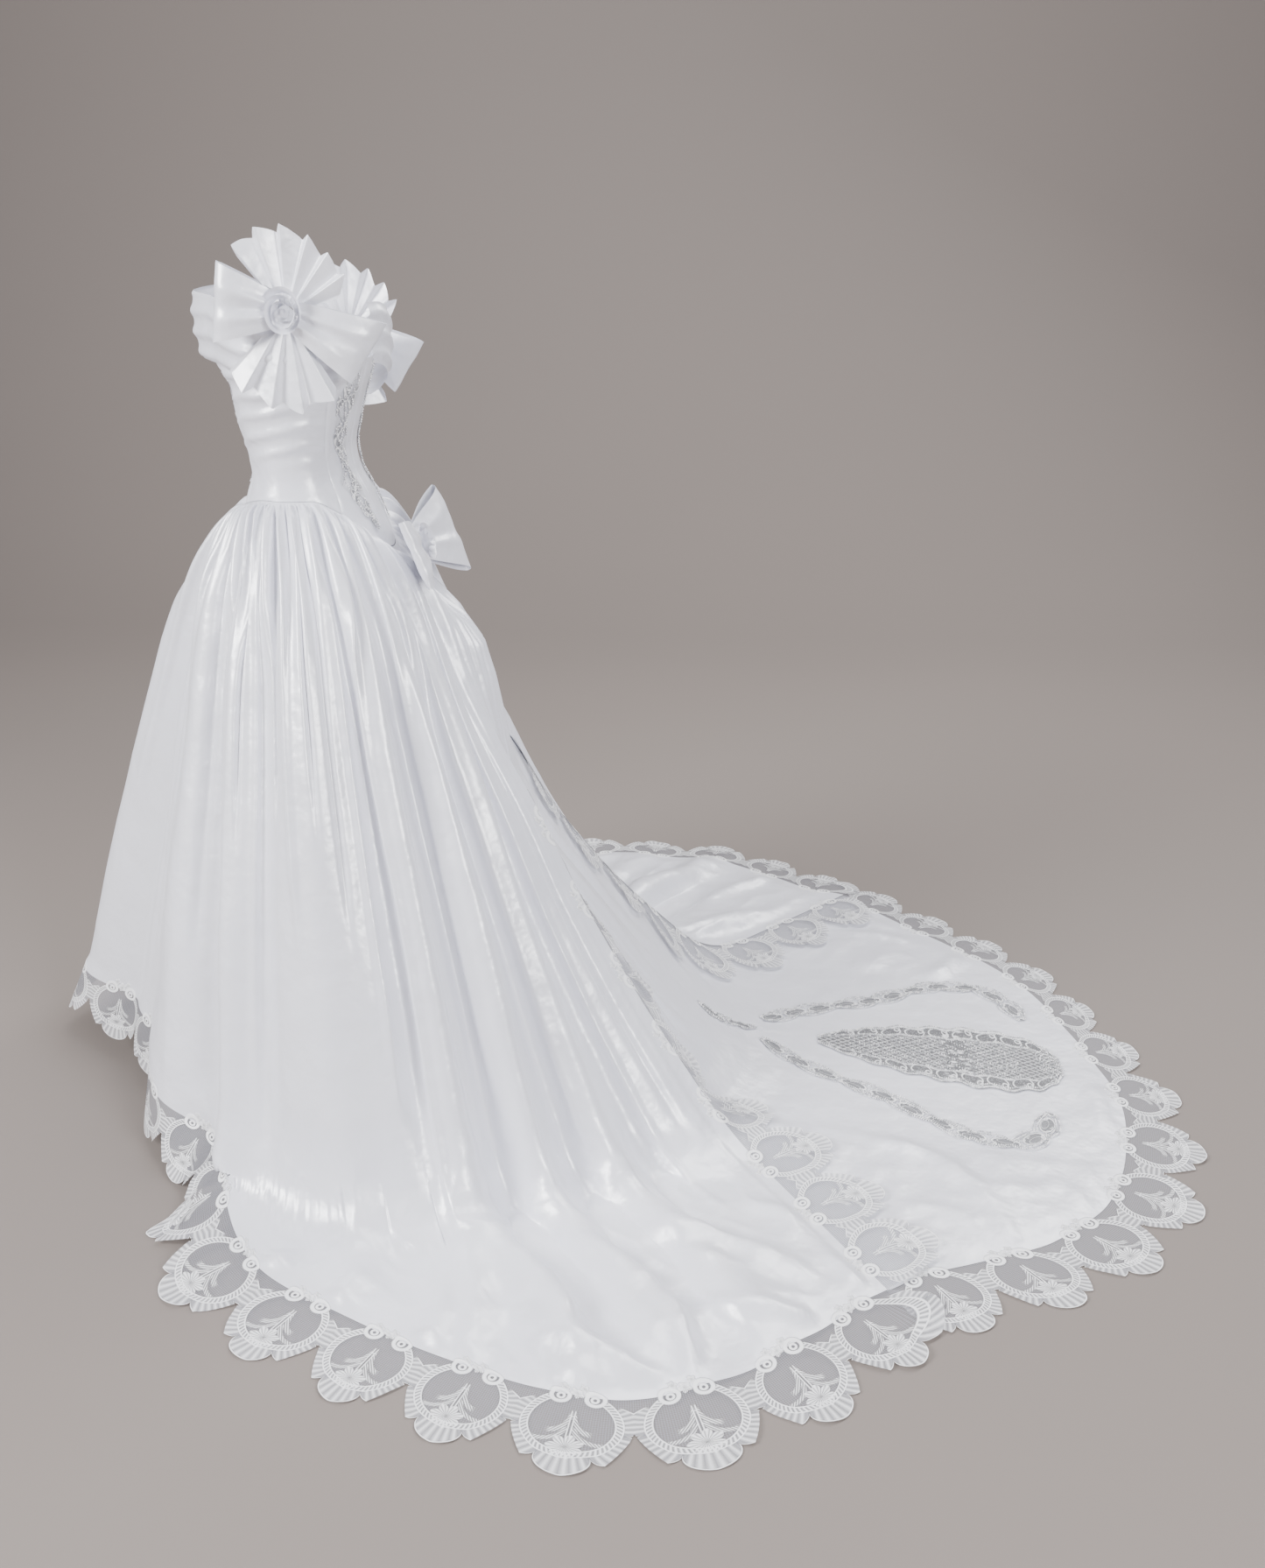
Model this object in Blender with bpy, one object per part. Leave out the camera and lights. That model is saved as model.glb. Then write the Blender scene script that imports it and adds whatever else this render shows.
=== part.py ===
"""Off-the-shoulder satin wedding dress with a long fan train, worn form, hollow, in metres.

The wearer faces -Y, the wearer's left is +X, the train runs out along +Y, +Z is up.
Heights in the tables are above the floor. The origin is on the body's axis at HOLD_HEIGHT, where
the bodice is held up.
"""

import math

import bmesh
import bpy
import numpy as np

# Driving sizes
HOLD_HEIGHT = 1.28
SATIN = 0.0018
LACE = 0.0012
GAP = 0.0003
LAYER_GAP = 0.0010
REAR_EDGE_DEG = 78.0
FAR_REAR_EDGE_DEG = -180.0 - REAR_EDGE_DEG
FRONT_SEAM_DEG = -62.0
FAR_FRONT_SEAM_DEG = -118.0
GATHER_DEG = 28.0 / 3.0
GATHER_DEPTH = 0.007
SKIRT_ROWS = 21
ROW_CROWDING = 1.25
FLOOR_ROUNDING = 0.11
SEAM_END_HEIGHT = 0.63
FAR_REAR_BOW = 0.35
TRAIN_HALF_COLUMNS = 7
TRAIN_CENTRE = (-0.12, 0.80)
TRAIN_OUTWARD = (0.0, 1.0, 0.6)
SCALLOP = 0.148
SCALLOP_VALLEY = 0.060
SCALLOP_TIP = 0.152
SCALLOP_STEPS = 4
BODICE_ROWS = 11
BODICE_STEP_DEG = 10.0
PLACKET_DEG = 97.0
BACK_SEAM_DEG = 45.0
BAND_TUCK = 0.022
RUCHE_DEPTH = 0.0022
BAND_TOP = 1.415
BAND_BOTTOM = 1.315
RIBBON = 0.0015
BOW_LEFT = (0.272, 0.065, 1.402)
BOW_RIGHT = (0.271, 0.017, 1.324)
BACK_BOW_CENTRE = (0.0, 0.144, 0.9965)
TOP_FAN_DROP = 0.0057
TOP_FAN_LIFT = 0.0028
LOW_FAN_LIFT = -0.0019
REAR_LOOP_LIFT = 0.0128
FRONT_LOOP_LIFT = 0.0045
SHOULDER_ROSE_LIFT = 0.0128
BACK_ROSE_LIFT = 0.0446
ROSETTE_TURNS = 2.4
ROSETTE_STEPS = 22
HANGING_LESS = 0.30
CORNER_CLEAR = 0.006
BASQUE_CLEAR = 0.0016
FAN_STEPS = (0.008, 0.016, 0.027, 0.040)
FAN_REACH = 0.045
EDGE_LACE_RISE = 0.0058
HEM_LACE_RISE = 0.0040
CORNER_FAN_DEG = 50.0
APPLIQUE_LIFT = 0.0017
TRAIN_APPLIQUE_LIFT = 0.0010
TRAIN_SWEEP = 0.16
BAND_SPLIT = 3
FAR_ARM_FALL = 0.070
FAR_ARM_FORWARD = 0.040

WHITE_SATIN = (0.90, 0.90, 0.93)
SILVER_LACE = (0.80, 0.81, 0.84)
WHITE_LACE = (0.88, 0.88, 0.91)


def table(names, rows):
    """Named columns from rows."""
    return {name: np.array(column, float) for name, column in zip(names.split(), zip(*rows))}


BODY = table(
    "height half_width front back",
    (
        (0.98, 0.162, 0.127, 0.146),
        (1.00, 0.158, 0.122, 0.141),
        (1.05, 0.145, 0.108, 0.124),
        (1.10, 0.127, 0.092, 0.104),
        (1.135, 0.119, 0.082, 0.087),
        (1.167, 0.122, 0.086, 0.082),
        (1.22, 0.136, 0.098, 0.092),
        (1.272, 0.146, 0.104, 0.108),
        (1.308, 0.150, 0.125, 0.118),
        (1.33, 0.152, 0.132, 0.123),
        (1.36, 0.153, 0.135, 0.127),
    ),
)
# Side of the body from front centre (-90) to back centre (90)
EDGES = table(
    "turn top seam",
    (
        (-90, 1.335, 1.060),
        (-60, 1.350, 1.085),
        (-20, 1.338, 1.100),
        (20, 1.325, 1.100),
        (45, 1.318, 1.075),
        (65, 1.312, 1.035),
        (80, 1.310, 1.010),
        (90, 1.310, 1.005),
    ),
)
STAND = table(
    "drop reach back_reach",
    (
        (0.000, 0.000, 0.000),
        (0.012, 0.066, 0.040),
        (0.058, 0.166, 0.115),
        (0.118, 0.257, 0.165),
        (0.201, 0.343, 0.215),
        (0.315, 0.442, 0.310),
        (0.430, 0.540, 0.420),
        (0.563, 0.657, 0.528),
        (0.660, 0.738, 0.620),
        (0.781, 0.830, 0.745),
        (0.892, 0.920, 0.874),
        (1.000, 1.000, 1.000),
    ),
)
# Each row is one run of the cloth: where it leaves the waist, meets the floor and ends
SKIRT = table(
    "waist foot_turn foot_radius hem_turn hem_radius hem_height lace_share",
    (
        (-258, -234.5, 0.824, -230.6, 1.262, 0.0065, 0.60),
        (-248, -229.5, 0.775, -226.3, 1.215, 0.0060, 0.60),
        (-238, -223.0, 0.720, -220.0, 1.205, 0.0040, 0.60),
        (-227, -216.0, 0.665, -214.3, 1.190, 0.0030, 0.60),
        (-216, -209.5, 0.620, -208.8, 1.135, 0.0030, 0.60),
        (-204, -203.0, 0.585, -202.3, 1.095, 0.0030, 0.65),
        (-192, -196.5, 0.550, -196.0, 0.960, 0.0030, 0.80),
        (-180, -189.0, 0.520, -188.0, 0.785, 0.0060, 1.00),
        (-168, -179, 0.500, -179.0, 0.645, 0.0150, 1.00),
        (-155, -168, 0.490, -168.0, 0.530, 0.0500, 1.00),
        (-140, -155, 0.500, -155.0, 0.500, 0.0900, 1.00),
        (-126, -138, 0.520, -138.0, 0.520, 0.1200, 1.00),
        (-112, -120, 0.560, -120.0, 0.560, 0.1350, 1.00),
        (-95, -102, 0.545, -102.0, 0.545, 0.1350, 1.00),
        (-82, -85, 0.400, -85.0, 0.400, 0.1400, 1.00),
        (-70, -70, 0.360, -70.0, 0.360, 0.1350, 1.00),
        (-60, -55, 0.366, -55.0, 0.366, 0.1240, 1.00),
        (-52, -38, 0.375, -38.0, 0.375, 0.0950, 1.00),
        (-42, -21, 0.390, -21.0, 0.390, 0.0700, 1.00),
        (-28, -13, 0.430, -13.0, 0.462, 0.0350, 1.00),
        (-13, 0, 0.465, 0.0, 0.609, 0.0120, 1.00),
        (0, 12, 0.495, 12.2, 0.714, 0.0060, 1.00),
        (12, 22, 0.520, 21.9, 0.832, 0.0030, 1.00),
        (24, 31, 0.540, 29.2, 0.945, 0.0030, 1.00),
        (35, 39, 0.560, 35.4, 1.030, 0.0030, 1.00),
        (46, 48, 0.590, 41.8, 1.072, 0.0030, 1.00),
        (57, 58, 0.630, 48.6, 1.094, 0.0040, 1.00),
        (68, 67, 0.690, 56.1, 1.113, 0.0060, 1.00),
        (78, 74.5, 0.755, 58.7, 1.131, 0.0065, 1.00),
    ),
)
# Ridges are positive and troughs negative; start and end are fractions of the run
FOLDS = table(
    "waist width depth start end",
    (
        (-242, 3.5, 0.018, 0.08, 0.80),
        (-234, 3.0, -0.022, 0.10, 0.80),
        (-227, 3.5, 0.024, 0.08, 0.92),
        (-219, 3.0, -0.026, 0.10, 0.80),
        (-212, 4.0, 0.022, 0.06, 0.90),
        (-203, 4.0, -0.028, 0.12, 0.75),
        (-192, 8.0, 0.020, 0.08, 0.80),
        (-178, 5.0, -0.018, 0.10, 0.70),
        (-164, 7.0, 0.022, 0.08, 0.95),
        (-150, 5.0, -0.020, 0.12, 0.90),
        (-138, 6.0, 0.020, 0.08, 1.00),
        (-124, 5.0, -0.018, 0.15, 0.90),
        (-110, 6.0, 0.012, 0.08, 1.00),
        (-96, 5.0, 0.014, 0.12, 1.00),
        (-84, 5.0, -0.014, 0.10, 1.00),
        (-68, 5.0, -0.016, 0.12, 1.00),
        (-54, 5.0, 0.020, 0.05, 1.00),
        (-45, 4.0, -0.018, 0.12, 0.90),
        (-32, 7.0, 0.018, 0.12, 1.00),
        (-18, 5.0, -0.016, 0.12, 0.80),
        (2, 12.0, 0.024, 0.08, 0.72),
        (20, 4.0, -0.018, 0.05, 0.60),
        (29, 5.0, 0.018, 0.06, 0.85),
        (37, 3.5, -0.032, 0.12, 0.78),
        (44, 4.0, 0.026, 0.08, 0.90),
        (51, 3.0, -0.024, 0.10, 0.80),
        (57, 3.5, 0.022, 0.08, 0.92),
        (63, 3.0, -0.020, 0.10, 0.75),
    ),
)
CENTRE_BACK = table(
    "distance height",
    (
        (0.140, 1.005),
        (0.150, 0.985),
        (0.163, 0.960),
        (0.184, 0.935),
        (0.216, 0.908),
        (0.255, 0.880),
        (0.283, 0.840),
        (0.298, 0.780),
        (0.308, 0.710),
        (0.318, 0.640),
        (0.330, 0.573),
        (0.347, 0.525),
        (0.372, 0.475),
        (0.404, 0.425),
        (0.462, 0.345),
        (0.556, 0.205),
        (0.632, 0.110),
        (0.695, 0.052),
        (0.752, 0.020),
        (0.820, 0.005),
        (0.880, 0.0022),
        (1.100, 0.0022),
        (1.375, 0.0022),
    ),
)
# Satin edge of the train, around TRAIN_CENTRE
TRAIN_RIM = table(
    "turn radius lace_share",
    (
        (13.2, 0.727, 1.0),
        (20.0, 0.700, 1.0),
        (29.0, 0.705, 1.0),
        (38.0, 0.720, 1.0),
        (47.0, 0.720, 1.0),
        (55.0, 0.705, 1.0),
        (64.4, 0.680, 0.95),
        (76.8, 0.650, 0.8),
        (90.0, 0.607, 0.7),
        (105.0, 0.587, 0.6),
        (120.0, 0.590, 0.6),
        (135.0, 0.592, 0.6),
        (148.0, 0.610, 0.6),
        (158.0, 0.650, 0.6),
        (165.6, 0.702, 0.6),
    ),
)
TRAIN_FOLDS = table(
    "across width depth start end",
    (
        (-0.42, 0.10, -0.010, 0.10, 0.50),
        (-0.10, 0.12, 0.010, 0.12, 0.45),
        (0.32, 0.10, -0.010, 0.10, 0.50),
    ),
)
# Bow pieces, seen from outside: angle from the wearer's back, turning up
FAN_TOP = table(
    "turn radius",
    ((18, 0.086), (35, 0.100), (58, 0.104), (74, 0.112), (95, 0.118), (115, 0.118), (130, 0.108)),
)
FAN_LOW = table("turn radius", ((222, 0.130), (245, 0.128), (270, 0.138), (285, 0.134), (300, 0.130)))
# Beaded lace on the bodice, from its top to its tip
BACK_APPLIQUE = table(
    "height centre half_width",
    (
        (1.300, 66, 11.0),
        (1.255, 64, 12.0),
        (1.215, 61, 11.0),
        (1.180, 62, 8.0),
        (1.150, 65, 7.0),
        (1.120, 64, 11.0),
        (1.090, 66, 9.0),
        (1.062, 71, 5.5),
        (1.040, 75, 3.0),
    ),
)
FRONT_APPLIQUE = table(
    "height centre half_width",
    (
        (1.292, -90, 24.0),
        (1.245, -90, 17.0),
        (1.205, -90, 15.0),
        (1.165, -90, 11.0),
        (1.135, -90, 7.0),
        (1.105, -90, 3.0),
    ),
)
SCROLL = table(
    "along across width",
    (
        (0.780, 0.040, 0.020),
        (0.850, 0.095, 0.036),
        (0.930, 0.140, 0.026),
        (1.010, 0.180, 0.038),
        (1.085, 0.235, 0.026),
        (1.150, 0.270, 0.036),
        (1.215, 0.278, 0.030),
        (1.272, 0.235, 0.042),
        (1.300, 0.165, 0.022),
    ),
)
MEDALLION = table(
    "along half_width",
    (
        (0.890, 0.012),
        (0.930, 0.038),
        (0.990, 0.066),
        (1.060, 0.088),
        (1.130, 0.100),
        (1.200, 0.108),
        (1.270, 0.100),
        (1.320, 0.070),
        (1.345, 0.030),
    ),
)
TRAIN_STEM = table(
    "along across width",
    ((0.655, 0.050, 0.012), (0.690, 0.042, 0.024), (0.730, 0.024, 0.018), (0.770, 0.004, 0.010)),
)
# The band around chest and arm, as places of its outline in plan
BAND = table(
    "x y",
    (
        (0.000, -0.139),
        (0.055, -0.134),
        (0.102, -0.112),
        (0.150, -0.080),
        (0.200, -0.048),
        (0.240, -0.010),
        (0.256, 0.035),
        (0.250, 0.080),
        (0.222, 0.108),
        (0.180, 0.120),
        (0.140, 0.108),
        (0.109, 0.0875),
    ),
)


def smooth_curve(x, xs, ys):
    """Values of a table column between its rows, on a smooth curve with no overshoot."""
    x = np.clip(x, xs[0], xs[-1])
    step = np.diff(xs)
    slope = np.diff(ys) / step
    before, after = slope[:-1], slope[1:]
    rising = before * after > 0
    mean = np.where(rising, 2 * before * after / np.where(rising, before + after, 1.0), 0.0)
    slopes = np.concatenate([slope[:1], mean, slope[-1:]])
    i = np.clip(np.searchsorted(xs, x, side="right") - 1, 0, len(step) - 1)
    t = (x - xs[i]) / step[i]
    start = (2 * t**3 - 3 * t**2 + 1) * ys[i] + (t**3 - 2 * t**2 + t) * step[i] * slopes[i]
    end = (3 * t**2 - 2 * t**3) * ys[i + 1] + (t**3 - t**2) * step[i] * slopes[i + 1]
    return start + end


def ease(t):
    t = np.clip(t, 0.0, 1.0)
    return t * t * (3 - 2 * t)


def direction(turn):
    return np.stack([np.cos(np.radians(turn)), np.sin(np.radians(turn))], axis=-1)


def mirrored_turn(turn):
    """The like place on the wearer's left, from -90 at front centre to 90 at back centre."""
    turn = np.mod(np.asarray(turn, float) + 90.0, 360.0)
    return np.where(turn > 180.0, 360.0 - turn, turn) - 90.0


def body_point(turn, height):
    """Outside of the bodice at one turn around the body and one height."""
    turn = np.asarray(turn, float)
    width = smooth_curve(height, BODY["height"], BODY["half_width"])
    front = smooth_curve(height, BODY["height"], BODY["front"])
    back = smooth_curve(height, BODY["height"], BODY["back"])
    unit = direction(turn)
    depth = np.where(unit[..., 1] < 0, front, back)
    return np.stack([width * unit[..., 0], depth * unit[..., 1], height + 0.0 * turn], axis=-1)


def edge_height(turn, which):
    return smooth_curve(mirrored_turn(turn), EDGES["turn"], EDGES[which])


def unit(vectors):
    return vectors / np.maximum(np.linalg.norm(vectors, axis=-1, keepdims=True), 1e-12)


def smoothed(line, times):
    """A line of values softened along its length, its ends kept."""
    for _ in range(times):
        line = np.concatenate([line[:1], (line[:-2] + 2 * line[1:-1] + line[2:]) / 4, line[-1:]])
    return line


def grid_normals(grid, outward):
    """Unit normals of a grid of points, turned to the side that outward points to."""
    normals = unit(np.cross(np.gradient(grid, axis=0), np.gradient(grid, axis=1)))
    return -normals if (normals * outward).sum() < 0 else normals


def material(name, colour, roughness, metallic=0.0):
    made = bpy.data.materials.get(name)
    if made:
        return made
    made = bpy.data.materials.new(name)
    made.use_nodes = True
    shader = made.node_tree.nodes["Principled BSDF"]
    shader.inputs["Base Color"].default_value = (*colour, 1.0)
    shader.inputs["Roughness"].default_value = roughness
    shader.inputs["Metallic"].default_value = metallic
    made.diffuse_color = (*colour, 1.0)
    return made


def satin():
    return material("white_satin", WHITE_SATIN, 0.32)


def lace():
    return material("white_lace", WHITE_LACE, 0.60)


def silver():
    return material("silver_beading", SILVER_LACE, 0.35, 0.3)


def cloth(name, outer, inner, finish, kept=None, falling=None):
    """A closed wall between two grids of points; falling columns are cut across the other way."""
    rows, columns = outer.shape[:2]
    if falling is None:
        falling = np.zeros(columns - 1, bool)
    if kept is None:
        kept = np.ones((rows - 1, columns - 1), bool)
    steps = outer[1:, :-1] - outer[:-1, :-1], outer[:-1, 1:] - outer[:-1, :-1]
    facing = (np.cross(*steps) * (outer - inner)[:-1, :-1])[kept].sum()
    shape = bmesh.new()
    made = {}

    def vertex(i, j, side):
        if (i, j, side) not in made:
            x, y, z = (outer if side else inner)[i, j]
            made[i, j, side] = shape.verts.new((x, y, z - HOLD_HEIGHT))
        return made[i, j, side]

    edges = {}
    for i, j in zip(*np.nonzero(kept)):
        ring = [(i, j), (i + 1, j), (i + 1, j + 1), (i, j + 1)]
        if facing < 0:
            ring = ring[:1] + ring[:0:-1]
        if falling[j]:
            ring = ring[1:] + ring[:1]
        for corners in (ring[:3], [ring[0], ring[2], ring[3]]):
            shape.faces.new([vertex(*corner, True) for corner in corners])
            shape.faces.new([vertex(*corner, False) for corner in reversed(corners)])
        for k in range(4):
            start, end = ring[k], ring[(k + 1) % 4]
            if (end, start) in edges:
                del edges[end, start]
            else:
                edges[start, end] = True
    for start, end in edges:
        ring = [vertex(*end, True), vertex(*start, True), vertex(*start, False), vertex(*end, False)]
        if start < end:
            ring = ring[1:] + ring[:1]
        shape.faces.new(ring[:3])
        shape.faces.new([ring[0], ring[2], ring[3]])
    mesh = bpy.data.meshes.new(name)
    shape.to_mesh(mesh)
    shape.free()
    mesh.shade_smooth()
    mesh.set_sharp_from_angle(angle=math.radians(50))
    mesh.materials.append(finish)
    made_object = bpy.data.objects.new(name, mesh)
    bpy.context.scene.collection.objects.link(made_object)
    return made_object


def wall(name, outer, normals, thickness, finish, kept=None, relief=None, falling=None):
    """A wall of even thickness under its outer points; relief raises the outside alone."""
    raised = outer if relief is None else outer + normals * relief[..., None]
    return cloth(name, raised, outer - normals * thickness, finish, kept, falling)


def parted(grid, first, last):
    """The columns first to last of a grid, drawn back by half a seam gap at each end."""
    piece = grid[:, first : last + 1].copy()
    piece[:, 0] += unit(piece[:, 1] - piece[:, 0]) * GAP * 0.7
    piece[:, -1] += unit(piece[:, -2] - piece[:, -1]) * GAP * 0.7
    return piece


def skirt_value(waist, name):
    return smooth_curve(waist, SKIRT["waist"], SKIRT[name])


def resampled(path, fractions):
    """Points of a path at fractions of its length."""
    lengths = np.concatenate([[0.0], np.cumsum(np.linalg.norm(np.diff(path, axis=0), axis=1))])
    at = np.asarray(fractions) * lengths[-1]
    return np.stack([np.interp(at, lengths, path[:, axis]) for axis in range(3)], axis=-1)


def rounded(path, corner, radius):
    """The path with its corner at one index eased over radius each way."""
    count = 240
    dense = resampled(path, np.linspace(0, 1, count))
    length = np.linalg.norm(np.diff(dense, axis=0), axis=1).sum()
    reach = max(2, int(radius / length * count))
    before = 2 * dense[:1] - dense[reach:0:-1]
    after = 2 * dense[-1:] - dense[-2 : -reach - 2 : -1]
    padded = np.concatenate([before, dense, after])
    window = np.ones(2 * reach + 1) / (2 * reach + 1)
    soft = np.stack([np.convolve(padded[:, axis], window, "valid") for axis in range(3)], axis=-1)
    away = np.linalg.norm(dense - path[corner], axis=1)
    weight = 1 - ease((away - radius) / (2 * radius))
    return dense + (soft - dense) * weight[:, None]


def skirt_run(waist, fractions):
    """One run of the skirt, from the waist seam down to the hem."""
    seam = edge_height(waist, "seam")
    top = body_point(waist, seam)
    foot = direction(skirt_value(waist, "foot_turn")) * skirt_value(waist, "foot_radius")
    hem = direction(skirt_value(waist, "hem_turn")) * skirt_value(waist, "hem_radius")
    hem_height = skirt_value(waist, "hem_height")
    drops = np.linspace(0, 1, 70) ** 1.4 * (1 - hem_height / seam)
    back = ease((mirrored_turn(waist) - 35.0) / (REAR_EDGE_DEG - 35.0))
    reach = smooth_curve(drops, STAND["drop"], STAND["reach"]) * (1 - back)
    reach += smooth_curve(drops, STAND["drop"], STAND["back_reach"]) * back
    reach = (reach / reach[-1])[:, None]
    bowed = FAR_REAR_BOW * back if waist < -90.0 else 0.0
    reach = np.concatenate([reach, reach ** (1.0 + bowed)], axis=1)
    standing = np.concatenate([top[:2] + (foot - top[:2]) * reach, (seam * (1 - drops))[:, None]], axis=1)
    spread = np.linalg.norm(hem - foot)
    if spread < 0.005:
        return resampled(standing, fractions)
    steps = np.linspace(0, 1, 40)[1:, None]
    lying = np.concatenate([foot + (hem - foot) * steps, np.full((39, 1), hem_height)], axis=1)
    radius = min(FLOOR_ROUNDING, spread * 0.5)
    return resampled(rounded(np.concatenate([standing, lying]), len(standing) - 1, radius), fractions)


def fold_depth(folds, key, place, fractions):
    """Depth of the folds at each place across a panel and each fraction of its run."""
    depth = np.zeros((len(fractions), len(place)))
    for k in range(len(folds["depth"])):
        across = np.exp(-(((place - folds[key][k]) / folds["width"][k]) ** 2))
        along = ease((fractions - folds["start"][k]) / 0.12)
        along = along * (1 - ease((fractions - folds["end"][k]) / 0.15))
        depth += folds["depth"][k] * along[:, None] * across[None, :]
    return depth


def row_fractions(count):
    return np.linspace(0, 1, count) ** ROW_CROWDING


def over_skirt(waists, fractions):
    """Front and side panels in one grid: outer points and normals."""
    base = np.stack([skirt_run(waist, fractions) for waist in waists], axis=1)
    outward = base * (1, 1, 0) + (0, 0, 0.3)
    normals = grid_normals(base, outward)
    depth = fold_depth(FOLDS, "waist", waists, fractions)
    depth *= (0.25 + 0.75 * ease(fractions / 0.35))[:, None]
    gather = GATHER_DEPTH * ease(fractions / 0.03) * (1 - ease((fractions - 0.06) / 0.22))
    waves = np.cos(2 * math.pi * (waists - FRONT_SEAM_DEG) / GATHER_DEG)
    depth += gather[:, None] * waves[None, :]
    points = base + normals * depth[..., None]
    near_edge = np.minimum(np.abs(waists - REAR_EDGE_DEG), np.abs(waists - FAR_REAR_EDGE_DEG))
    lowest = SATIN + GAP + 0.0044 * (1 - ease((near_edge - 6.0) / 12.0))
    points[..., 2] = np.maximum(points[..., 2], lowest[None, :])
    return points, grid_normals(points, outward)


def centre_back(fractions):
    path = np.stack([0 * CENTRE_BACK["height"], CENTRE_BACK["distance"], CENTRE_BACK["height"]], axis=-1)
    path[:, 0] = TRAIN_CENTRE[0] * ease((path[:, 1] - 0.35) / 0.6)
    return resampled(path, fractions)


def rim_turns(columns):
    """Where each column of the train ends on its rim, from the far corner to the near one."""
    across = np.linspace(-1, 1, columns)
    near_end, far_end = TRAIN_RIM["turn"][0], TRAIN_RIM["turn"][-1]
    return 90.0 - across * np.where(across > 0, 90.0 - near_end, far_end - 90.0)


def train(near_edge, far_edge, fractions, columns):
    """Centre back panel and train in one grid, from the far edge to the near edge."""
    across = np.linspace(-1, 1, columns)
    centre = centre_back(fractions)
    share = np.abs(across)[None, :]
    level = share ** (2.0 + 6.0 * ease((fractions - 0.52) / 0.16))[:, None]
    side = np.where(across[None, :, None] < 0, far_edge[:, None, :], near_edge[:, None, :])
    middle = centre[:, None, :]
    blend = np.stack([share + 0 * level, share**2 + 0 * level, level], axis=-1)
    points = middle + (side - middle) * blend
    turns = rim_turns(columns)
    radii = smooth_curve(turns, TRAIN_RIM["turn"], TRAIN_RIM["radius"])
    rim = np.array(TRAIN_CENTRE) + direction(turns) * radii[:, None]
    bulge = rim - points[-1, :, :2]
    bulge[[0, -1]] = 0.0
    lying = ease((fractions - 0.50) / 0.50) ** 1.5
    points[..., :2] += lying[:, None, None] * bulge[None]
    depth = fold_depth(TRAIN_FOLDS, "across", across, fractions) * (1 - share**4)
    points += grid_normals(points, TRAIN_OUTWARD) * depth[..., None]
    points[..., 2] = np.maximum(points[..., 2], SATIN + GAP)
    return points


def panel_cuts(waists):
    """Columns where the side panels meet the front, with both rear edges."""
    seams = [int(np.argmin(np.abs(waists - turn))) for turn in (FAR_FRONT_SEAM_DEG, FRONT_SEAM_DEG)]
    return [0, *seams, len(waists) - 1]


def build_skirt():
    """Front, two sides and the back with its train; the grids are handed on for the lace."""
    fractions = row_fractions(SKIRT_ROWS)
    waists = np.arange(FAR_REAR_EDGE_DEG, REAR_EDGE_DEG + 0.5, GATHER_DEG / 2)
    points, normals = over_skirt(waists, fractions)
    under = points - normals * (SATIN + LAYER_GAP)
    free = int(np.argmax(points[:, -1, 2] < SEAM_END_HEIGHT)) + 1
    near_edge, far_edge = under[:, -1].copy(), under[:, 0].copy()
    near_edge[:free] = points[:free, -1]
    far_edge[:free] = points[:free, 0]
    middle = train(near_edge, far_edge, fractions, 2 * TRAIN_HALF_COLUMNS + 1)
    middle_normals = grid_normals(middle, TRAIN_OUTWARD)
    for column in (0, -1):
        shared = unit(normals[: free + 1, column] + middle_normals[: free + 1, column])
        normals[: free + 1, column] = shared
        middle_normals[: free + 1, column] = shared
        middle_normals[free + 1 :, column] = normals[free + 1 :, column]
    cuts = panel_cuts(waists)
    for name, first, last in zip(("skirt_side_right", "skirt_front", "skirt_side_left"), cuts, cuts[1:]):
        wall(name, parted(points, first, last), normals[:, first : last + 1], SATIN, satin())
    inner = parted(middle, 0, middle.shape[1] - 1)
    inner[free + 1 :, [0, -1]] = middle[free + 1 :, [0, -1]]
    whole = np.concatenate([under[:, 2:0:-1], inner, under[:, -2:-4:-1]], axis=1)
    whole_normals = np.concatenate([normals[:, 2:0:-1], middle_normals, normals[:, -2:-4:-1]], axis=1)
    kept = np.ones((SKIRT_ROWS - 1, whole.shape[1] - 1), bool)
    kept[: free + 1, [0, 1, -1, -2]] = False
    kept[-1, [0, 1, -1, -2]] = False
    falling = np.arange(whole.shape[1] - 1)
    falling = (falling < 2 + TRAIN_HALF_COLUMNS) | (falling >= 2 + 2 * TRAIN_HALF_COLUMNS)
    wall("skirt_back_train", whole, whole_normals, SATIN, satin(), kept, falling=falling)
    return points, normals, middle, middle_normals, waists, free


def arc_lengths(line):
    return np.concatenate([[0.0], np.cumsum(np.linalg.norm(np.diff(line, axis=0), axis=1))])


def along(line, values, distances):
    """Values on a line, at distances from its start."""
    lengths = arc_lengths(line)
    return np.stack([np.interp(distances, lengths, values[:, k]) for k in range(values.shape[1])], axis=-1)


def edging_places(line, fan_start=False, fan_end=False):
    """Distances along a hem, at its corners and between them, with the lace's depth at each."""
    corners = arc_lengths(line)
    length = corners[-1]
    count = max(1, round(length / SCALLOP))
    steps = list(np.linspace(0, length, count * SCALLOP_STEPS + 1))
    if fan_start:
        steps += FAN_STEPS
    if fan_end:
        steps += [length - step for step in FAN_STEPS]
    distances = list(corners)
    for step in sorted(steps):
        if min(abs(step - other) for other in distances) > CORNER_CLEAR:
            distances.append(step)
    distances = np.sort(distances)
    wave = np.abs(np.sin(math.pi * count * distances / length)) ** 0.8
    return distances, SCALLOP_VALLEY + (SCALLOP_TIP - SCALLOP_VALLEY) * wave


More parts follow.
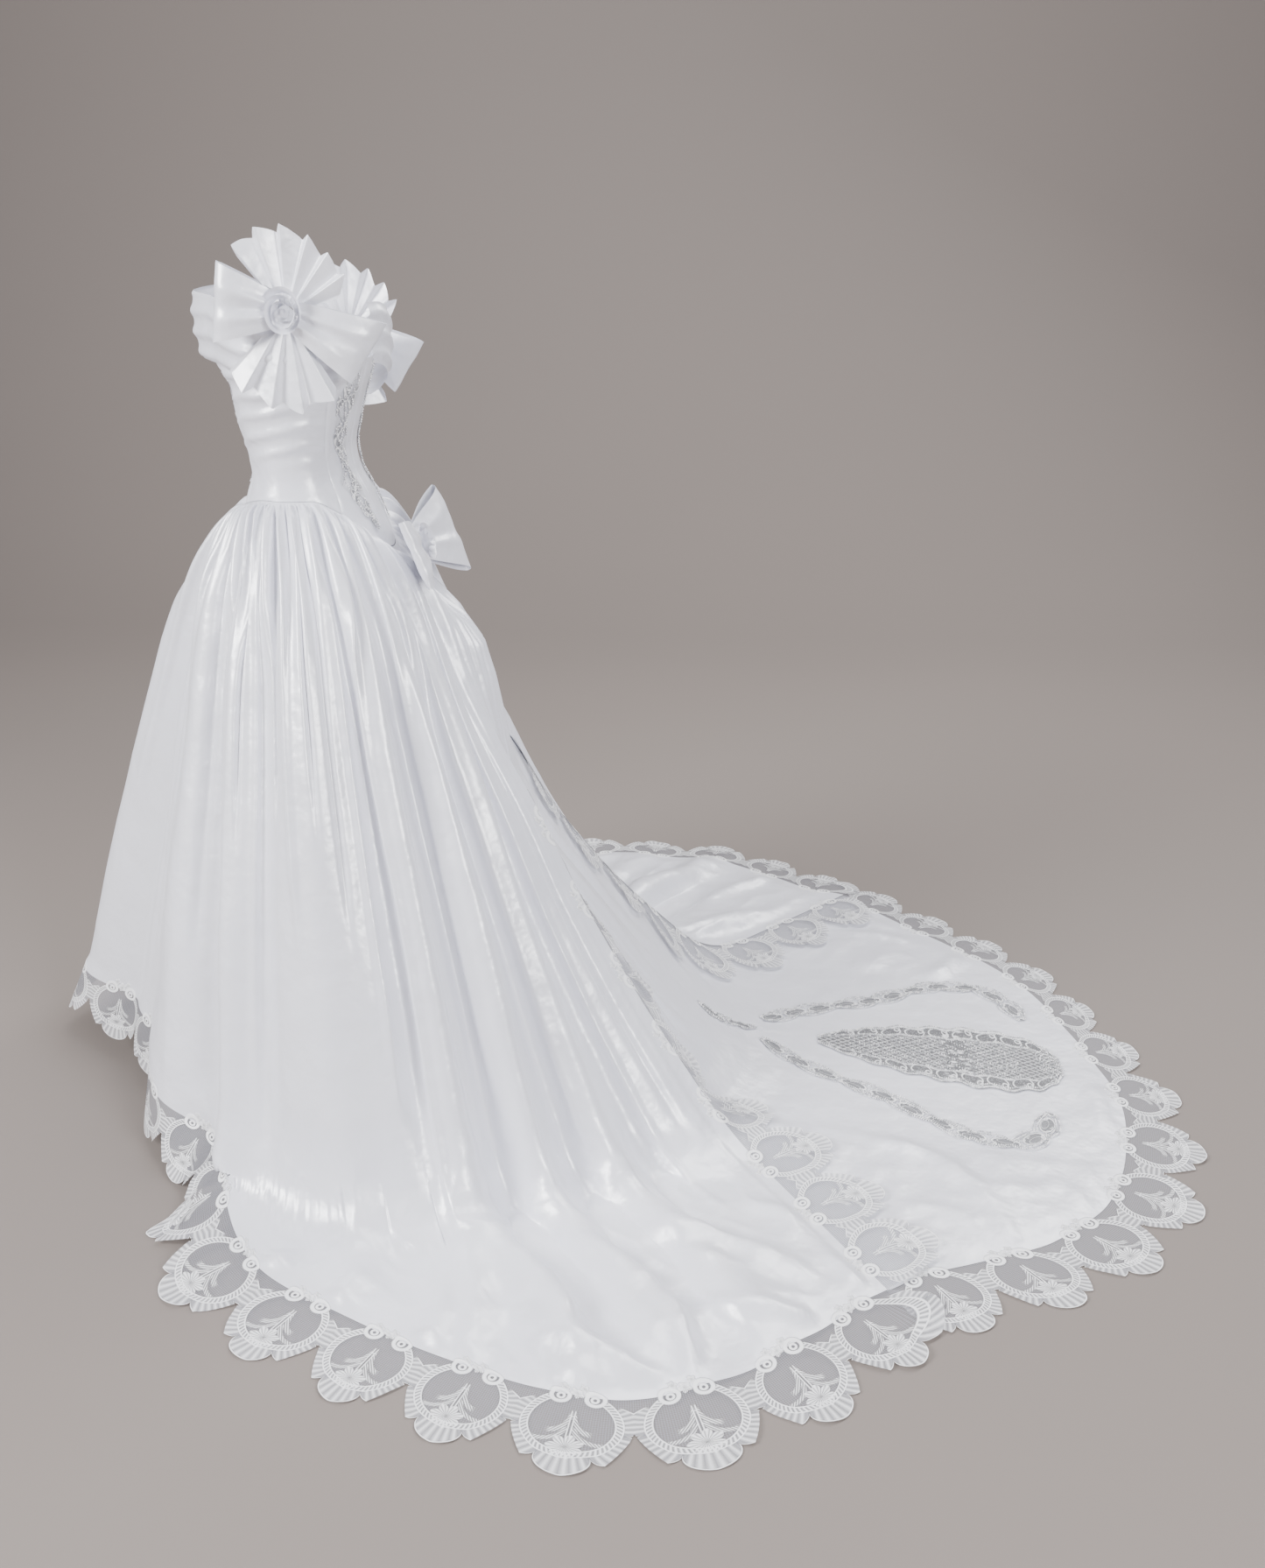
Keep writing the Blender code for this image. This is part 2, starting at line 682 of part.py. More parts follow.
def plan_away(line, centre):
    """Level directions out from a line, away from a centre."""
    tangent = np.gradient(smoothed(line, 3), axis=0)
    away = unit(np.stack([tangent[:, 1], -tangent[:, 0], 0 * tangent[:, 0]], axis=-1))
    return -away if (away[:, :2] * (line[:, :2] - np.array(centre))).sum() < 0 else away


def turned(vectors, degrees):
    """Level directions turned about the upright."""
    cos, sin = np.cos(np.radians(degrees)), np.sin(np.radians(degrees))
    x, y = vectors[:, 0], vectors[:, 1]
    return np.stack([x * cos - y * sin, x * sin + y * cos, vectors[:, 2]], axis=-1)


def edging(name, line, normals, away, slope, lowest, share, fans=(0.0, 0.0)):
    """Scalloped lace carried on from a satin edge.

    away is its way in plan, slope the share of it that falls, lowest how near the floor it lies,
    share how much of its depth is spread, and fans the degrees by which it turns at each end.
    """
    distances, depths = edging_places(line, fans[0] != 0, fans[1] != 0)
    start = along(line, line, distances)
    faces = unit(along(line, normals, distances))
    out = unit(along(line, away, distances))
    length = distances[-1]
    out = turned(out, fans[0] * (1 - ease(distances / FAN_REACH)))
    out = turned(out, fans[1] * (1 - ease((length - distances) / FAN_REACH)))
    lengths = arc_lengths(line)
    floor = np.interp(distances, lengths, lowest)
    fall = np.interp(distances, lengths, slope)
    depths = depths * np.interp(distances, lengths, share)
    depths = depths * (1 - HANGING_LESS * ease((fall - 0.4) / 0.4))
    room = np.maximum(start[:, 2] - floor, 0.0) / (SCALLOP_TIP * (1 - HANGING_LESS))
    fall = np.clip(fall, 0.0, room)[:, None]
    reach = out * np.sqrt(1 - fall**2) - np.array([0, 0, 1.0]) * fall
    outer = start + reach * depths[:, None]
    highest = floor + np.maximum(start[:, 2] - floor, 0) * 0.9
    outer[:, 2] = np.maximum(np.minimum(outer[:, 2], highest), floor)
    grid = np.stack([start + reach * GAP * 1.5, outer])
    outer_faces = unit(np.cross(reach, np.gradient(start, axis=0)))
    outer_faces *= np.sign((outer_faces * faces).sum(axis=1, keepdims=True))
    return wall(name, grid, np.stack([faces, outer_faces]), LACE, lace())


def build_hem_lace(points, normals, waists):
    hem = points[-1]
    run = unit(smoothed(points[-1] - points[-2], 3))
    slope = np.clip(-run[:, 2], 0.0, 1.0)
    away = plan_away(hem, (0.0, 0.0))
    near_rear = np.minimum(REAR_EDGE_DEG - waists, waists - FAR_REAR_EDGE_DEG)
    lowest = LACE + GAP + HEM_LACE_RISE * (1 - ease((near_rear - 8.0) / 16.0))
    share = skirt_value(waists, "lace_share")
    cuts = panel_cuts(waists)
    fans = ((-CORNER_FAN_DEG, 0.0), (0.0, 0.0), (0.0, CORNER_FAN_DEG))
    names = ("lace_hem_right", "lace_hem_front", "lace_hem_left")
    for name, first, last, fan in zip(names, cuts, cuts[1:], fans):
        part = slice(first, last + 1)
        line = parted(hem[None], first, last)[0]
        edging(name, line, normals[-1, part], away[part], slope[part], lowest[part], share[part], fan)


def build_train_lace(middle, middle_normals):
    rim = middle[-1]
    flat = np.zeros(len(rim))
    share = smooth_curve(rim_turns(len(rim)), TRAIN_RIM["turn"], TRAIN_RIM["lace_share"])
    edging("lace_train", rim, middle_normals[-1], plan_away(rim, TRAIN_CENTRE), flat, flat + LACE, share)


def surface_at(grid, row, column, falling=False):
    """A point on the facets of a grid, at a fractional row and column."""
    i = int(min(max(math.floor(row), 0), grid.shape[0] - 2))
    j = int(min(max(math.floor(column), 0), grid.shape[1] - 2))
    u, v = row - i, column - j
    first, last = grid[i, j], grid[i + 1, j + 1]
    below, beside = grid[i + 1, j], grid[i, j + 1]
    if falling and u + v <= 1:
        return first + (below - first) * u + (beside - first) * v
    if falling:
        return last + (beside - last) * (1 - u) + (below - last) * (1 - v)
    if u >= v:
        return first + (below - first) * u + (last - below) * v
    return first + (beside - first) * v + (last - beside) * u


def build_edge_lace(name, points, normals, middle, middle_normals, far_side, free):
    """Lace along the free rear edge of a side panel, lying over the train."""
    column = 0 if far_side else -1
    start_row = free + 1
    edge = points[start_row:, column]
    distances, depths = edging_places(edge)
    depths *= 0.35 + 0.65 * ease(distances / SCALLOP)
    rows = start_row + np.interp(distances, arc_lengths(edge), np.arange(len(edge)))
    steps = np.arange(middle.shape[1] // 2 + 1)
    columns = steps if far_side else middle.shape[1] - 1 - steps
    grid = np.empty((3, len(rows), 3))
    faces = np.empty_like(grid)
    for k, row in enumerate(rows):
        place = row - start_row
        cloth_start = along_rows(edge, place)
        faces[0, k] = along_rows(normals[start_row:, column], place)
        width = np.array([surface_at(middle, row, step, far_side) for step in columns])
        run = arc_lengths(width)
        depth = min(depths[k], 0.80 * run[-1])
        for level, (share, rise) in enumerate(((0.5, 0.7), (1.0, 1.0)), start=1):
            step = np.interp(share * depth, run, columns)
            faces[level, k] = surface_at(middle_normals, row, step, far_side)
            lift = SATIN + LAYER_GAP + EDGE_LACE_RISE * rise
            grid[level, k] = surface_at(middle, row, step, far_side) + unit(faces[level, k]) * lift
        grid[0, k] = cloth_start + unit(grid[1, k] - cloth_start) * GAP * 1.5
    wall(name, grid, unit(faces), LACE, lace())


def along_rows(values, place):
    """A value between the rows of a column."""
    i = int(min(math.floor(place), len(values) - 2))
    return values[i] + (values[i + 1] - values[i]) * (place - i)


def bodice_grid(turns):
    """Outer points and normals of the bodice between its top edge and the waist seam."""
    rows = np.linspace(0, 1, BODICE_ROWS)[:, None]
    top = edge_height(turns, "top")[None, :]
    seam = edge_height(turns, "seam")[None, :] + BASQUE_CLEAR
    heights = top + (seam - top) * rows
    points = np.stack([body_point(turns, row) for row in heights], axis=0)
    return points, grid_normals(points, points * (1, 1, 0))


def build_bodice():
    """Front, ruched sides, backs and the narrow back placket as one ring, cut into its pieces."""
    whole = np.arange(-260.0, 80.1, BODICE_STEP_DEG)
    cuts = (PLACKET_DEG - 360.0, -BACK_SEAM_DEG - 180.0, -125.0, -55.0, BACK_SEAM_DEG, 180.0 - PLACKET_DEG)
    turns = np.array(sorted(set(whole) | {*cuts}))
    points, normals = bodice_grid(turns)
    place = mirrored_turn(turns)
    side = ease((place + 55.0) / 12.0) * (1 - ease((place - 33.0) / 12.0))
    rows = np.linspace(0, 1, BODICE_ROWS)
    phase = 2 * math.pi * (rows[:, None] * 4.5 + place[None, :] / 160.0)
    relief = RUCHE_DEPTH * (0.5 + 0.5 * np.cos(phase)) * side[None, :]
    names = ("bodice_back_right", "bodice_side_right", "bodice_front", "bodice_side_left", "bodice_back_left")
    for name, start, end in zip(names, cuts, cuts[1:]):
        first, last = np.searchsorted(turns, (start, end))
        part = slice(first, last + 1)
        wall(name, parted(points, first, last), normals[:, part], SATIN, satin(), relief=relief[:, part])
    placket, placket_normals = bodice_grid(np.array([180.0 - PLACKET_DEG, 90.0, PLACKET_DEG]))
    wall("placket_back", parted(placket, 0, 2), placket_normals, SATIN, satin())
    for name, rows, mirror in (
        ("applique_front", FRONT_APPLIQUE, False),
        ("applique_back_left", BACK_APPLIQUE, False),
        ("applique_back_right", BACK_APPLIQUE, True),
    ):
        build_bodice_applique(name, rows, turns, points, normals, mirror)


def stops(first, last):
    """First and last place of a run, with every whole row between them."""
    return np.array([first, *np.arange(math.ceil(first + 0.2), last - 0.2), last])


def build_bodice_applique(name, rows, turns, points, normals, mirror):
    """Beaded lace on the bodice, made from the bodice's own facets and moved out."""
    top = float(edge_height(rows["centre"][0], "top"))
    seam = float(edge_height(rows["centre"][-1], "seam"))
    first, last = ((top - rows["height"][k]) / (top - seam) * (BODICE_ROWS - 1) for k in (0, -1))
    places = stops(first, last)
    heights = top - places / (BODICE_ROWS - 1) * (top - seam)
    centre = smooth_curve(heights, rows["height"][::-1], rows["centre"][::-1])
    half_width = smooth_curve(heights, rows["height"][::-1], rows["half_width"][::-1])
    across = np.linspace(-1, 1, 7)
    grid = np.empty((len(places), len(across), 3))
    faces = np.empty_like(grid)
    for i, place in enumerate(places):
        columns = np.interp(centre[i] + half_width[i] * across, turns, np.arange(len(turns)))
        for j, column in enumerate(columns):
            faces[i, j] = surface_at(normals, place, column)
            grid[i, j] = surface_at(points, place, column)
    faces = unit(faces)
    grid += faces * (APPLIQUE_LIFT + LACE)
    if mirror:
        grid, faces = grid * (-1, 1, 1), faces * (-1, 1, 1)
    wall(name, grid, faces, LACE, silver())


def band_half(far_arm):
    """Half of the off-the-shoulder band, from centre front round the arm to the back."""
    last = len(BAND["x"]) - 1
    places = np.linspace(0, last, 2 * last + 1)
    rows = np.arange(last + 1, dtype=float)
    line = np.stack([smooth_curve(places, rows, BAND[axis]) for axis in "xy"], axis=-1)
    tangent = np.gradient(line, axis=0)
    away = unit(np.stack([tangent[:, 1], -tangent[:, 0]], axis=-1))
    away[0] = (0.0, -1.0)
    at_arm = ease((places - 2.0) / 4.0) * (1 - ease((places - 7.0) / 3.5))
    drop = 0.030 * ease((places - 3.0) / 4.0)
    if far_arm:
        drop = drop + FAR_ARM_FALL * at_arm
        line[:, 1] -= FAR_ARM_FORWARD * at_arm
    roll = np.array([0.006, 0.009, 0.009, 0.006, 0.000])
    grid = np.empty((len(roll), len(places), 3))
    grid[..., :2] = line[None] + away[None] * roll[:, None, None]
    grid[..., 2] = np.linspace(BAND_TOP, BAND_BOTTOM, len(roll))[:, None] - drop[None, :]
    return grid


def build_band():
    """The band's front over the bust, and its run round each arm to the back."""
    near = band_half(False)
    whole = np.concatenate([band_half(True)[:, :0:-1] * (-1, 1, 1), near], axis=1)
    normals = grid_normals(whole, whole * (1, 1, 0))
    centre = near.shape[1] - 1
    first, last = centre - 2 * BAND_SPLIT, centre + 2 * BAND_SPLIT
    for name, start, end in (("sleeve_right", 0, first), ("sleeve_left", last, whole.shape[1] - 1)):
        wall(name, parted(whole, start, end), normals[:, start : end + 1], RIBBON, satin())
    edge = whole[-1, first : last + 1]
    turn = np.degrees(np.arctan2(edge[:, 1] / BODY["front"][-2], edge[:, 0] / BODY["half_width"][-2]))
    on_body = body_point(turn, BAND_BOTTOM - 0.006) + unit(edge * (1, 1, 0)) * (GAP + RIBBON)
    way = on_body - edge
    reach = np.linalg.norm(way, axis=-1, keepdims=True)
    tucked = edge + way * np.minimum(1.0, BAND_TUCK / reach)
    front = np.concatenate([whole[:, first : last + 1], tucked[None]])
    front_normals = grid_normals(front, front * (1, 1, 0))
    front_normals[:-1, [0, -1]] = normals[:, [first, last]]
    wall("neckline_band", parted(front, 0, front.shape[1] - 1), front_normals, RIBBON, satin())


def placed(local, centre, along_axis, across_axis, out_axis):
    """Points given as along, across and out, set on a bow's own axes."""
    axes = np.array([along_axis, across_axis, out_axis], float)
    axes /= np.linalg.norm(axes, axis=1, keepdims=True)
    return np.array(centre) + local @ axes


def ribbon_loop(length, root, end, shift, slant, bulge, lift):
    """A loop of ribbon: out from the knot, round its end and back under itself."""
    turns = np.linspace(0.11, 0.89, 9)
    across = np.linspace(-1, 1, 4)
    share = (1 - np.cos(2 * math.pi * turns)) / 2
    reach = np.where(turns < 0.5, bulge, bulge * 0.35)
    out = reach * np.sin(2 * math.pi * turns) * share**0.8
    grid = np.empty((len(turns), len(across), 3))
    for k, place in enumerate(across):
        half = root + (end - root) * share**0.8
        grid[:, k, 0] = share * (length + slant * place)
        grid[:, k, 1] = half * place + shift * share
        grid[:, k, 2] = lift + out * (1 - 0.25 * place**2)
    return grid


def pleated_fan(rows, pleats, depth, lift, root):
    """Knife pleats spread from the knot to an even edge."""
    turns = np.linspace(rows["turn"][0], rows["turn"][-1], 2 * pleats + 1)
    radii = smooth_curve(turns, rows["turn"], rows["radius"])
    shares = np.array([0.0, 0.35, 0.70, 1.0])
    grid = np.empty((4, len(turns), 3))
    for k, turn in enumerate(turns):
        reach = root + (radii[k] - root) * shares
        grid[:, k, 0] = reach * math.cos(math.radians(turn))
        grid[:, k, 1] = reach * math.sin(math.radians(turn))
        grid[:, k, 2] = lift + (depth * shares if k % 2 else -depth * shares)
    return grid


def rolled_rose(width, height, lift):
    """A strip of satin rolled from the middle out, its edge opening like petals."""
    steps = np.linspace(0, 1, ROSETTE_STEPS + 1)
    turn = 2 * math.pi * ROSETTE_TURNS * steps
    radius = 0.12 + 0.88 * steps
    grid = np.empty((3, len(steps), 3))
    for k, (flare, rise) in enumerate(((0.78, 0.0), (0.86, 0.65), (1.0, 1.0))):
        grid[k, :, 0] = radius * flare * width * np.cos(turn)
        grid[k, :, 1] = radius * flare * height * np.sin(turn)
        grid[k, :, 2] = lift + rise * (0.024 - 0.012 * steps)
    return grid


def bow_piece(name, local, axes, mirror, rounded_out=True):
    """One bow part on its own axes, turned to the wearer's right if mirrored."""
    points = placed(local, *axes)
    outward = points - points.mean(axis=(0, 1)) if rounded_out else np.array(axes[-1], float)
    normals = grid_normals(points, outward)
    if mirror:
        points, normals = points * (-1, 1, 1), normals * (-1, 1, 1)
    wall(name, points, normals, RIBBON, satin())


def build_shoulder_bows():
    """On each sleeve: two pleated fans, two loops and a rose, each resting on the one below."""
    for side, centre, mirror in (("left", BOW_LEFT, False), ("right", BOW_RIGHT, True)):
        axes = (centre, (0, 1, 0), (0, 0, 1), (1, 0, 0))
        top_axes = (np.array(centre) - (0, 0, TOP_FAN_DROP), *axes[1:])
        front_axes = (centre, (0.10, -1, 0.14), (0, 0.14, 1), (1, 0.10, 0))
        rear_axes = (centre, (-0.30, 1, -0.46), (0, 0.46, 1), (1, 0.30, 0))
        low = pleated_fan(FAN_LOW, 4, 0.007, LOW_FAN_LIFT, 0.014)
        bow_piece("shoulder_fan_low_" + side, low, axes, mirror, rounded_out=False)
        top = pleated_fan(FAN_TOP, 6, 0.006, TOP_FAN_LIFT, 0.014)
        bow_piece("shoulder_fan_top_" + side, top, top_axes, mirror, rounded_out=False)
        front = ribbon_loop(0.100, 0.016, 0.056, 0.0, 0.0, 0.024, FRONT_LOOP_LIFT)
        bow_piece("shoulder_loop_front_" + side, front, front_axes, mirror)
        rear = ribbon_loop(0.127, 0.016, 0.050, -0.010, 0.008, 0.024, REAR_LOOP_LIFT)
        bow_piece("shoulder_loop_rear_" + side, rear, rear_axes, mirror)
        rose = rolled_rose(0.030, 0.036, SHOULDER_ROSE_LIFT)
        bow_piece("shoulder_rosette_" + side, rose, axes, mirror)


def build_back_bow():
    """Two wide loops and a rose on the back waist."""
    slope = (0, 0.36, -0.93)
    out = (0, 0.93, 0.36)
    near_axes = (BACK_BOW_CENTRE, (1, 0.22, 0.06), slope, out)
    far_axes = (BACK_BOW_CENTRE, (-1, 0.30, 0.0), slope, out)
    near = ribbon_loop(0.125, 0.020, 0.058, 0.0, 0.0, 0.028, 0.031)
    far = ribbon_loop(0.135, 0.020, 0.080, 0.0, 0.0, 0.030, 0.030)
    bow_piece("back_bow_loop_left", near, near_axes, False)
    bow_piece("back_bow_loop_right", far, far_axes, False)
    rose = rolled_rose(0.042, 0.034, BACK_ROSE_LIFT)
    bow_piece("back_bow_rosette", rose, (BACK_BOW_CENTRE, (1, 0, 0), slope, out), False)


def flat_strip(rows, side):
    """A strip on the flat of the train along a curved line of named widths."""
    count = 22
    places = np.linspace(0, len(rows["along"]) - 1, count)
    index = np.arange(len(rows["along"]), dtype=float)
    y = smooth_curve(places, index, rows["along"])
    x = smooth_curve(places, index, rows["across"])
    width = smooth_curve(places, index, rows["width"])
    line = np.stack([side * x, y], axis=-1)
    tangent = np.gradient(line, axis=0)
    away = np.stack([tangent[:, 1], -tangent[:, 0]], axis=-1)
    away /= np.linalg.norm(away, axis=1, keepdims=True)
    edges = [line + away * (width * share)[:, None] for share in (-0.5, 0.5)]
    return np.stack(edges, axis=0)


def resting_height(grid, x, y):
    """Height of a grid under one point of the plan, on the higher of each cell's two cuts."""
    a, b, c, d = grid[:-1, :-1], grid[1:, :-1], grid[:-1, 1:], grid[1:, 1:]
    height = 0.0
    for first, second, third in ((a, b, c), (d, c, b), (a, b, d), (a, c, d)):
        to_second, to_third = second - first, third - first
        point = np.array([x, y]) - first[..., :2]
        area = to_second[..., 0] * to_third[..., 1] - to_second[..., 1] * to_third[..., 0]
        u = (point[..., 0] * to_third[..., 1] - point[..., 1] * to_third[..., 0]) / area
        v = (to_second[..., 0] * point[..., 1] - to_second[..., 1] * point[..., 0]) / area
        within = (u >= 0) & (v >= 0) & (u + v <= 1)
        heights = first[..., 2] + u * to_second[..., 2] + v * to_third[..., 2]
        height = max(height, heights[within].max(initial=0.0))
    return height


def on_train(flat, middle):
    """Plan points set on the train and turned with its sweep."""
    x = flat[..., 0] + TRAIN_CENTRE[0] + TRAIN_SWEEP * (flat[..., 1] - 1.05)
    points = np.stack([x, flat[..., 1], 0 * x], axis=-1)
    for place in np.ndindex(x.shape):
        points[place][2] = resting_height(middle, *points[place][:2]) + TRAIN_APPLIQUE_LIFT + LACE
    return points


def build_train_applique(middle):
    """Flat beaded lace on the floor part of the train, with a stem up its slope."""
    up = np.array([0, 0, 1.0])
    across = np.linspace(-1, 1, 5)
    medallion = np.stack(
        [MEDALLION["half_width"][:, None] * across, MEDALLION["along"][:, None] + 0 * across], axis=-1
    )
    pieces = (
        ("train_stem", flat_strip(TRAIN_STEM, 1)),
        ("train_medallion", medallion),
        ("train_scroll_left", flat_strip(SCROLL, 1)),
        ("train_scroll_right", flat_strip(SCROLL, -1)),
    )
    for name, flat in pieces:
        points = on_train(flat, middle)
        wall(name, points, points * 0 + up, LACE, silver())


def main():
    for old in list(bpy.data.objects):
        bpy.data.objects.remove(old, do_unlink=True)
    build_bodice()
    build_band()
    build_shoulder_bows()
    build_back_bow()
    points, normals, middle, middle_normals, waists, free = build_skirt()
    build_hem_lace(points, normals, waists)
    build_train_lace(middle, middle_normals)
    build_edge_lace("lace_edge_left", points, normals, middle, middle_normals, False, free)
    build_edge_lace("lace_edge_right", points, normals, middle, middle_normals, True, free)
    build_train_applique(middle)


main()
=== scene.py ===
"""Looks for an off-the-shoulder satin wedding dress with lace edging and a beaded train.

Every cloth piece is a thin shell on the form of its solid, in metres. The wearer faces -Y, the
wearer's left is +X, the train runs out along +Y. Heights in the tables are above the floor.
"""

import functools
import math

import bmesh
import bpy
import numpy as np
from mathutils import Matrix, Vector, noise


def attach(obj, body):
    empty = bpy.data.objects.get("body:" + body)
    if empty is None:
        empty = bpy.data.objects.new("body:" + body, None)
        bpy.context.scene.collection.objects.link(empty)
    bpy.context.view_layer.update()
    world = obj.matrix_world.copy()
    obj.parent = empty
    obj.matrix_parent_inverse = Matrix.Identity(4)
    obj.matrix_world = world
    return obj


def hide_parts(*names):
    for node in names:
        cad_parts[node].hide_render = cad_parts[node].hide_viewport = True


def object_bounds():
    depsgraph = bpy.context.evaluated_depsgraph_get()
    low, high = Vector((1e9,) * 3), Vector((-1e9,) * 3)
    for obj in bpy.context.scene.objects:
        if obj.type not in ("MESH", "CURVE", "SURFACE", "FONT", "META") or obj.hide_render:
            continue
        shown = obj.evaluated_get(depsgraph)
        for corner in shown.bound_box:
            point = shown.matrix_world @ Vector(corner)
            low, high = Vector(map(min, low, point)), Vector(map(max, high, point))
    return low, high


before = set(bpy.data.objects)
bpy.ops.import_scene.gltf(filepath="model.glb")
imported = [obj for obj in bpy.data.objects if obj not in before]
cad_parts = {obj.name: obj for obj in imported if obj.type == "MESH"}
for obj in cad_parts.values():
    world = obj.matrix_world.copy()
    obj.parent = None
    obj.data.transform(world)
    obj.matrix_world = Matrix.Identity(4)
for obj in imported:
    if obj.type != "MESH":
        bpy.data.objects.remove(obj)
CAD_BOX = [[float(value) for value in corner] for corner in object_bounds()]
FLOOR_Z = float(CAD_BOX[0][2])

bl_info = {
    "name": "Satin wedding dress",
    "version": (1, 0, 0),
    "blender": (4, 5, 0),
    "location": "View3D > Sidebar > Dress",
    "description": "Builds a satin wedding dress with lace edging, bows and beading",
    "category": "Object",
}

# Fineness of the shells
PANEL_COLUMNS_EACH = 12
PANEL_ROWS = 180
TRAIN_HALF = 72
BODICE_STEP = 1.0
BODICE_LINES = 72
LACE_STEP = 0.0055
LACE_LINES = 12
UNDERLAP_COLUMNS = 22
FAN_REACH = 0.045
GAP = 0.0003
SEAM_SHIFT = 0.0009
# Length of one curl and leaf of the train's scrolls
SCROLL_PITCH = 0.058

# Driving sizes of the solids
HOLD_HEIGHT = 1.28
SATIN = 0.0018
LACE = 0.0012
LAYER_GAP = 0.0010
REAR_EDGE_DEG = 78.0
FAR_REAR_EDGE_DEG = -180.0 - REAR_EDGE_DEG
FRONT_SEAM_DEG = -62.0
FAR_FRONT_SEAM_DEG = -118.0
GATHER_DEG = 28.0 / 3.0
GATHER_DEPTH = 0.007
ROW_CROWDING = 1.25
FLOOR_ROUNDING = 0.11
SEAM_END_HEIGHT = 0.63
FAR_REAR_BOW = 0.35
TRAIN_CENTRE = (-0.12, 0.80)
TRAIN_OUTWARD = (0.0, 1.0, 0.6)
SCALLOP = 0.148
SCALLOP_VALLEY = 0.060
SCALLOP_TIP = 0.152
PLACKET_DEG = 97.0
BACK_SEAM_DEG = 45.0
BAND_TUCK = 0.022
BAND_TOP = 1.415
BAND_BOTTOM = 1.315
RIBBON = 0.0015
BOW_LEFT = (0.272, 0.065, 1.402)
BOW_RIGHT = (0.271, 0.017, 1.324)
BACK_BOW_CENTRE = (0.0, 0.144, 0.9965)
TOP_FAN_DROP = 0.0057
TOP_FAN_LIFT = 0.0028
LOW_FAN_LIFT = -0.0019
REAR_LOOP_LIFT = 0.0128
FRONT_LOOP_LIFT = 0.0045
SHOULDER_ROSE_LIFT = 0.0128
BACK_ROSE_LIFT = 0.0446
ROSETTE_TURNS = 2.4
HANGING_LESS = 0.30
BASQUE_CLEAR = 0.0016
EDGE_LACE_RISE = 0.0058
HEM_LACE_RISE = 0.0040
CORNER_FAN_DEG = 50.0
APPLIQUE_LIFT = 0.0017
TRAIN_APPLIQUE_LIFT = 0.0010
TRAIN_SWEEP = 0.16
BAND_SPLIT = 3
FAR_ARM_FALL = 0.070
FAR_ARM_FORWARD = 0.040


def table(names, rows):
    """Named columns from rows."""
    return {name: np.array(column, float) for name, column in zip(names.split(), zip(*rows))}


BODY = table(
    "height half_width front back",
    (
        (0.98, 0.162, 0.127, 0.146),
        (1.00, 0.158, 0.122, 0.141),
        (1.05, 0.145, 0.108, 0.124),
        (1.10, 0.127, 0.092, 0.104),
        (1.135, 0.119, 0.082, 0.087),
        (1.167, 0.122, 0.086, 0.082),
        (1.22, 0.136, 0.098, 0.092),
        (1.272, 0.146, 0.104, 0.108),
        (1.308, 0.150, 0.125, 0.118),
        (1.33, 0.152, 0.132, 0.123),
        (1.36, 0.153, 0.135, 0.127),
    ),
)
# Side of the body from front centre (-90) to back centre (90)
EDGES = table(
    "turn top seam",
    (
        (-90, 1.335, 1.060),
        (-60, 1.350, 1.085),
        (-20, 1.338, 1.100),
        (20, 1.325, 1.100),
        (45, 1.318, 1.075),
        (65, 1.312, 1.035),
        (80, 1.310, 1.010),
        (90, 1.310, 1.005),
    ),
)
STAND = table(
    "drop reach back_reach",
    (
        (0.000, 0.000, 0.000),
        (0.012, 0.066, 0.040),
        (0.058, 0.166, 0.115),
        (0.118, 0.257, 0.165),
        (0.201, 0.343, 0.215),
        (0.315, 0.442, 0.310),
        (0.430, 0.540, 0.420),
        (0.563, 0.657, 0.528),
        (0.660, 0.738, 0.620),
        (0.781, 0.830, 0.745),
        (0.892, 0.920, 0.874),
        (1.000, 1.000, 1.000),
    ),
)
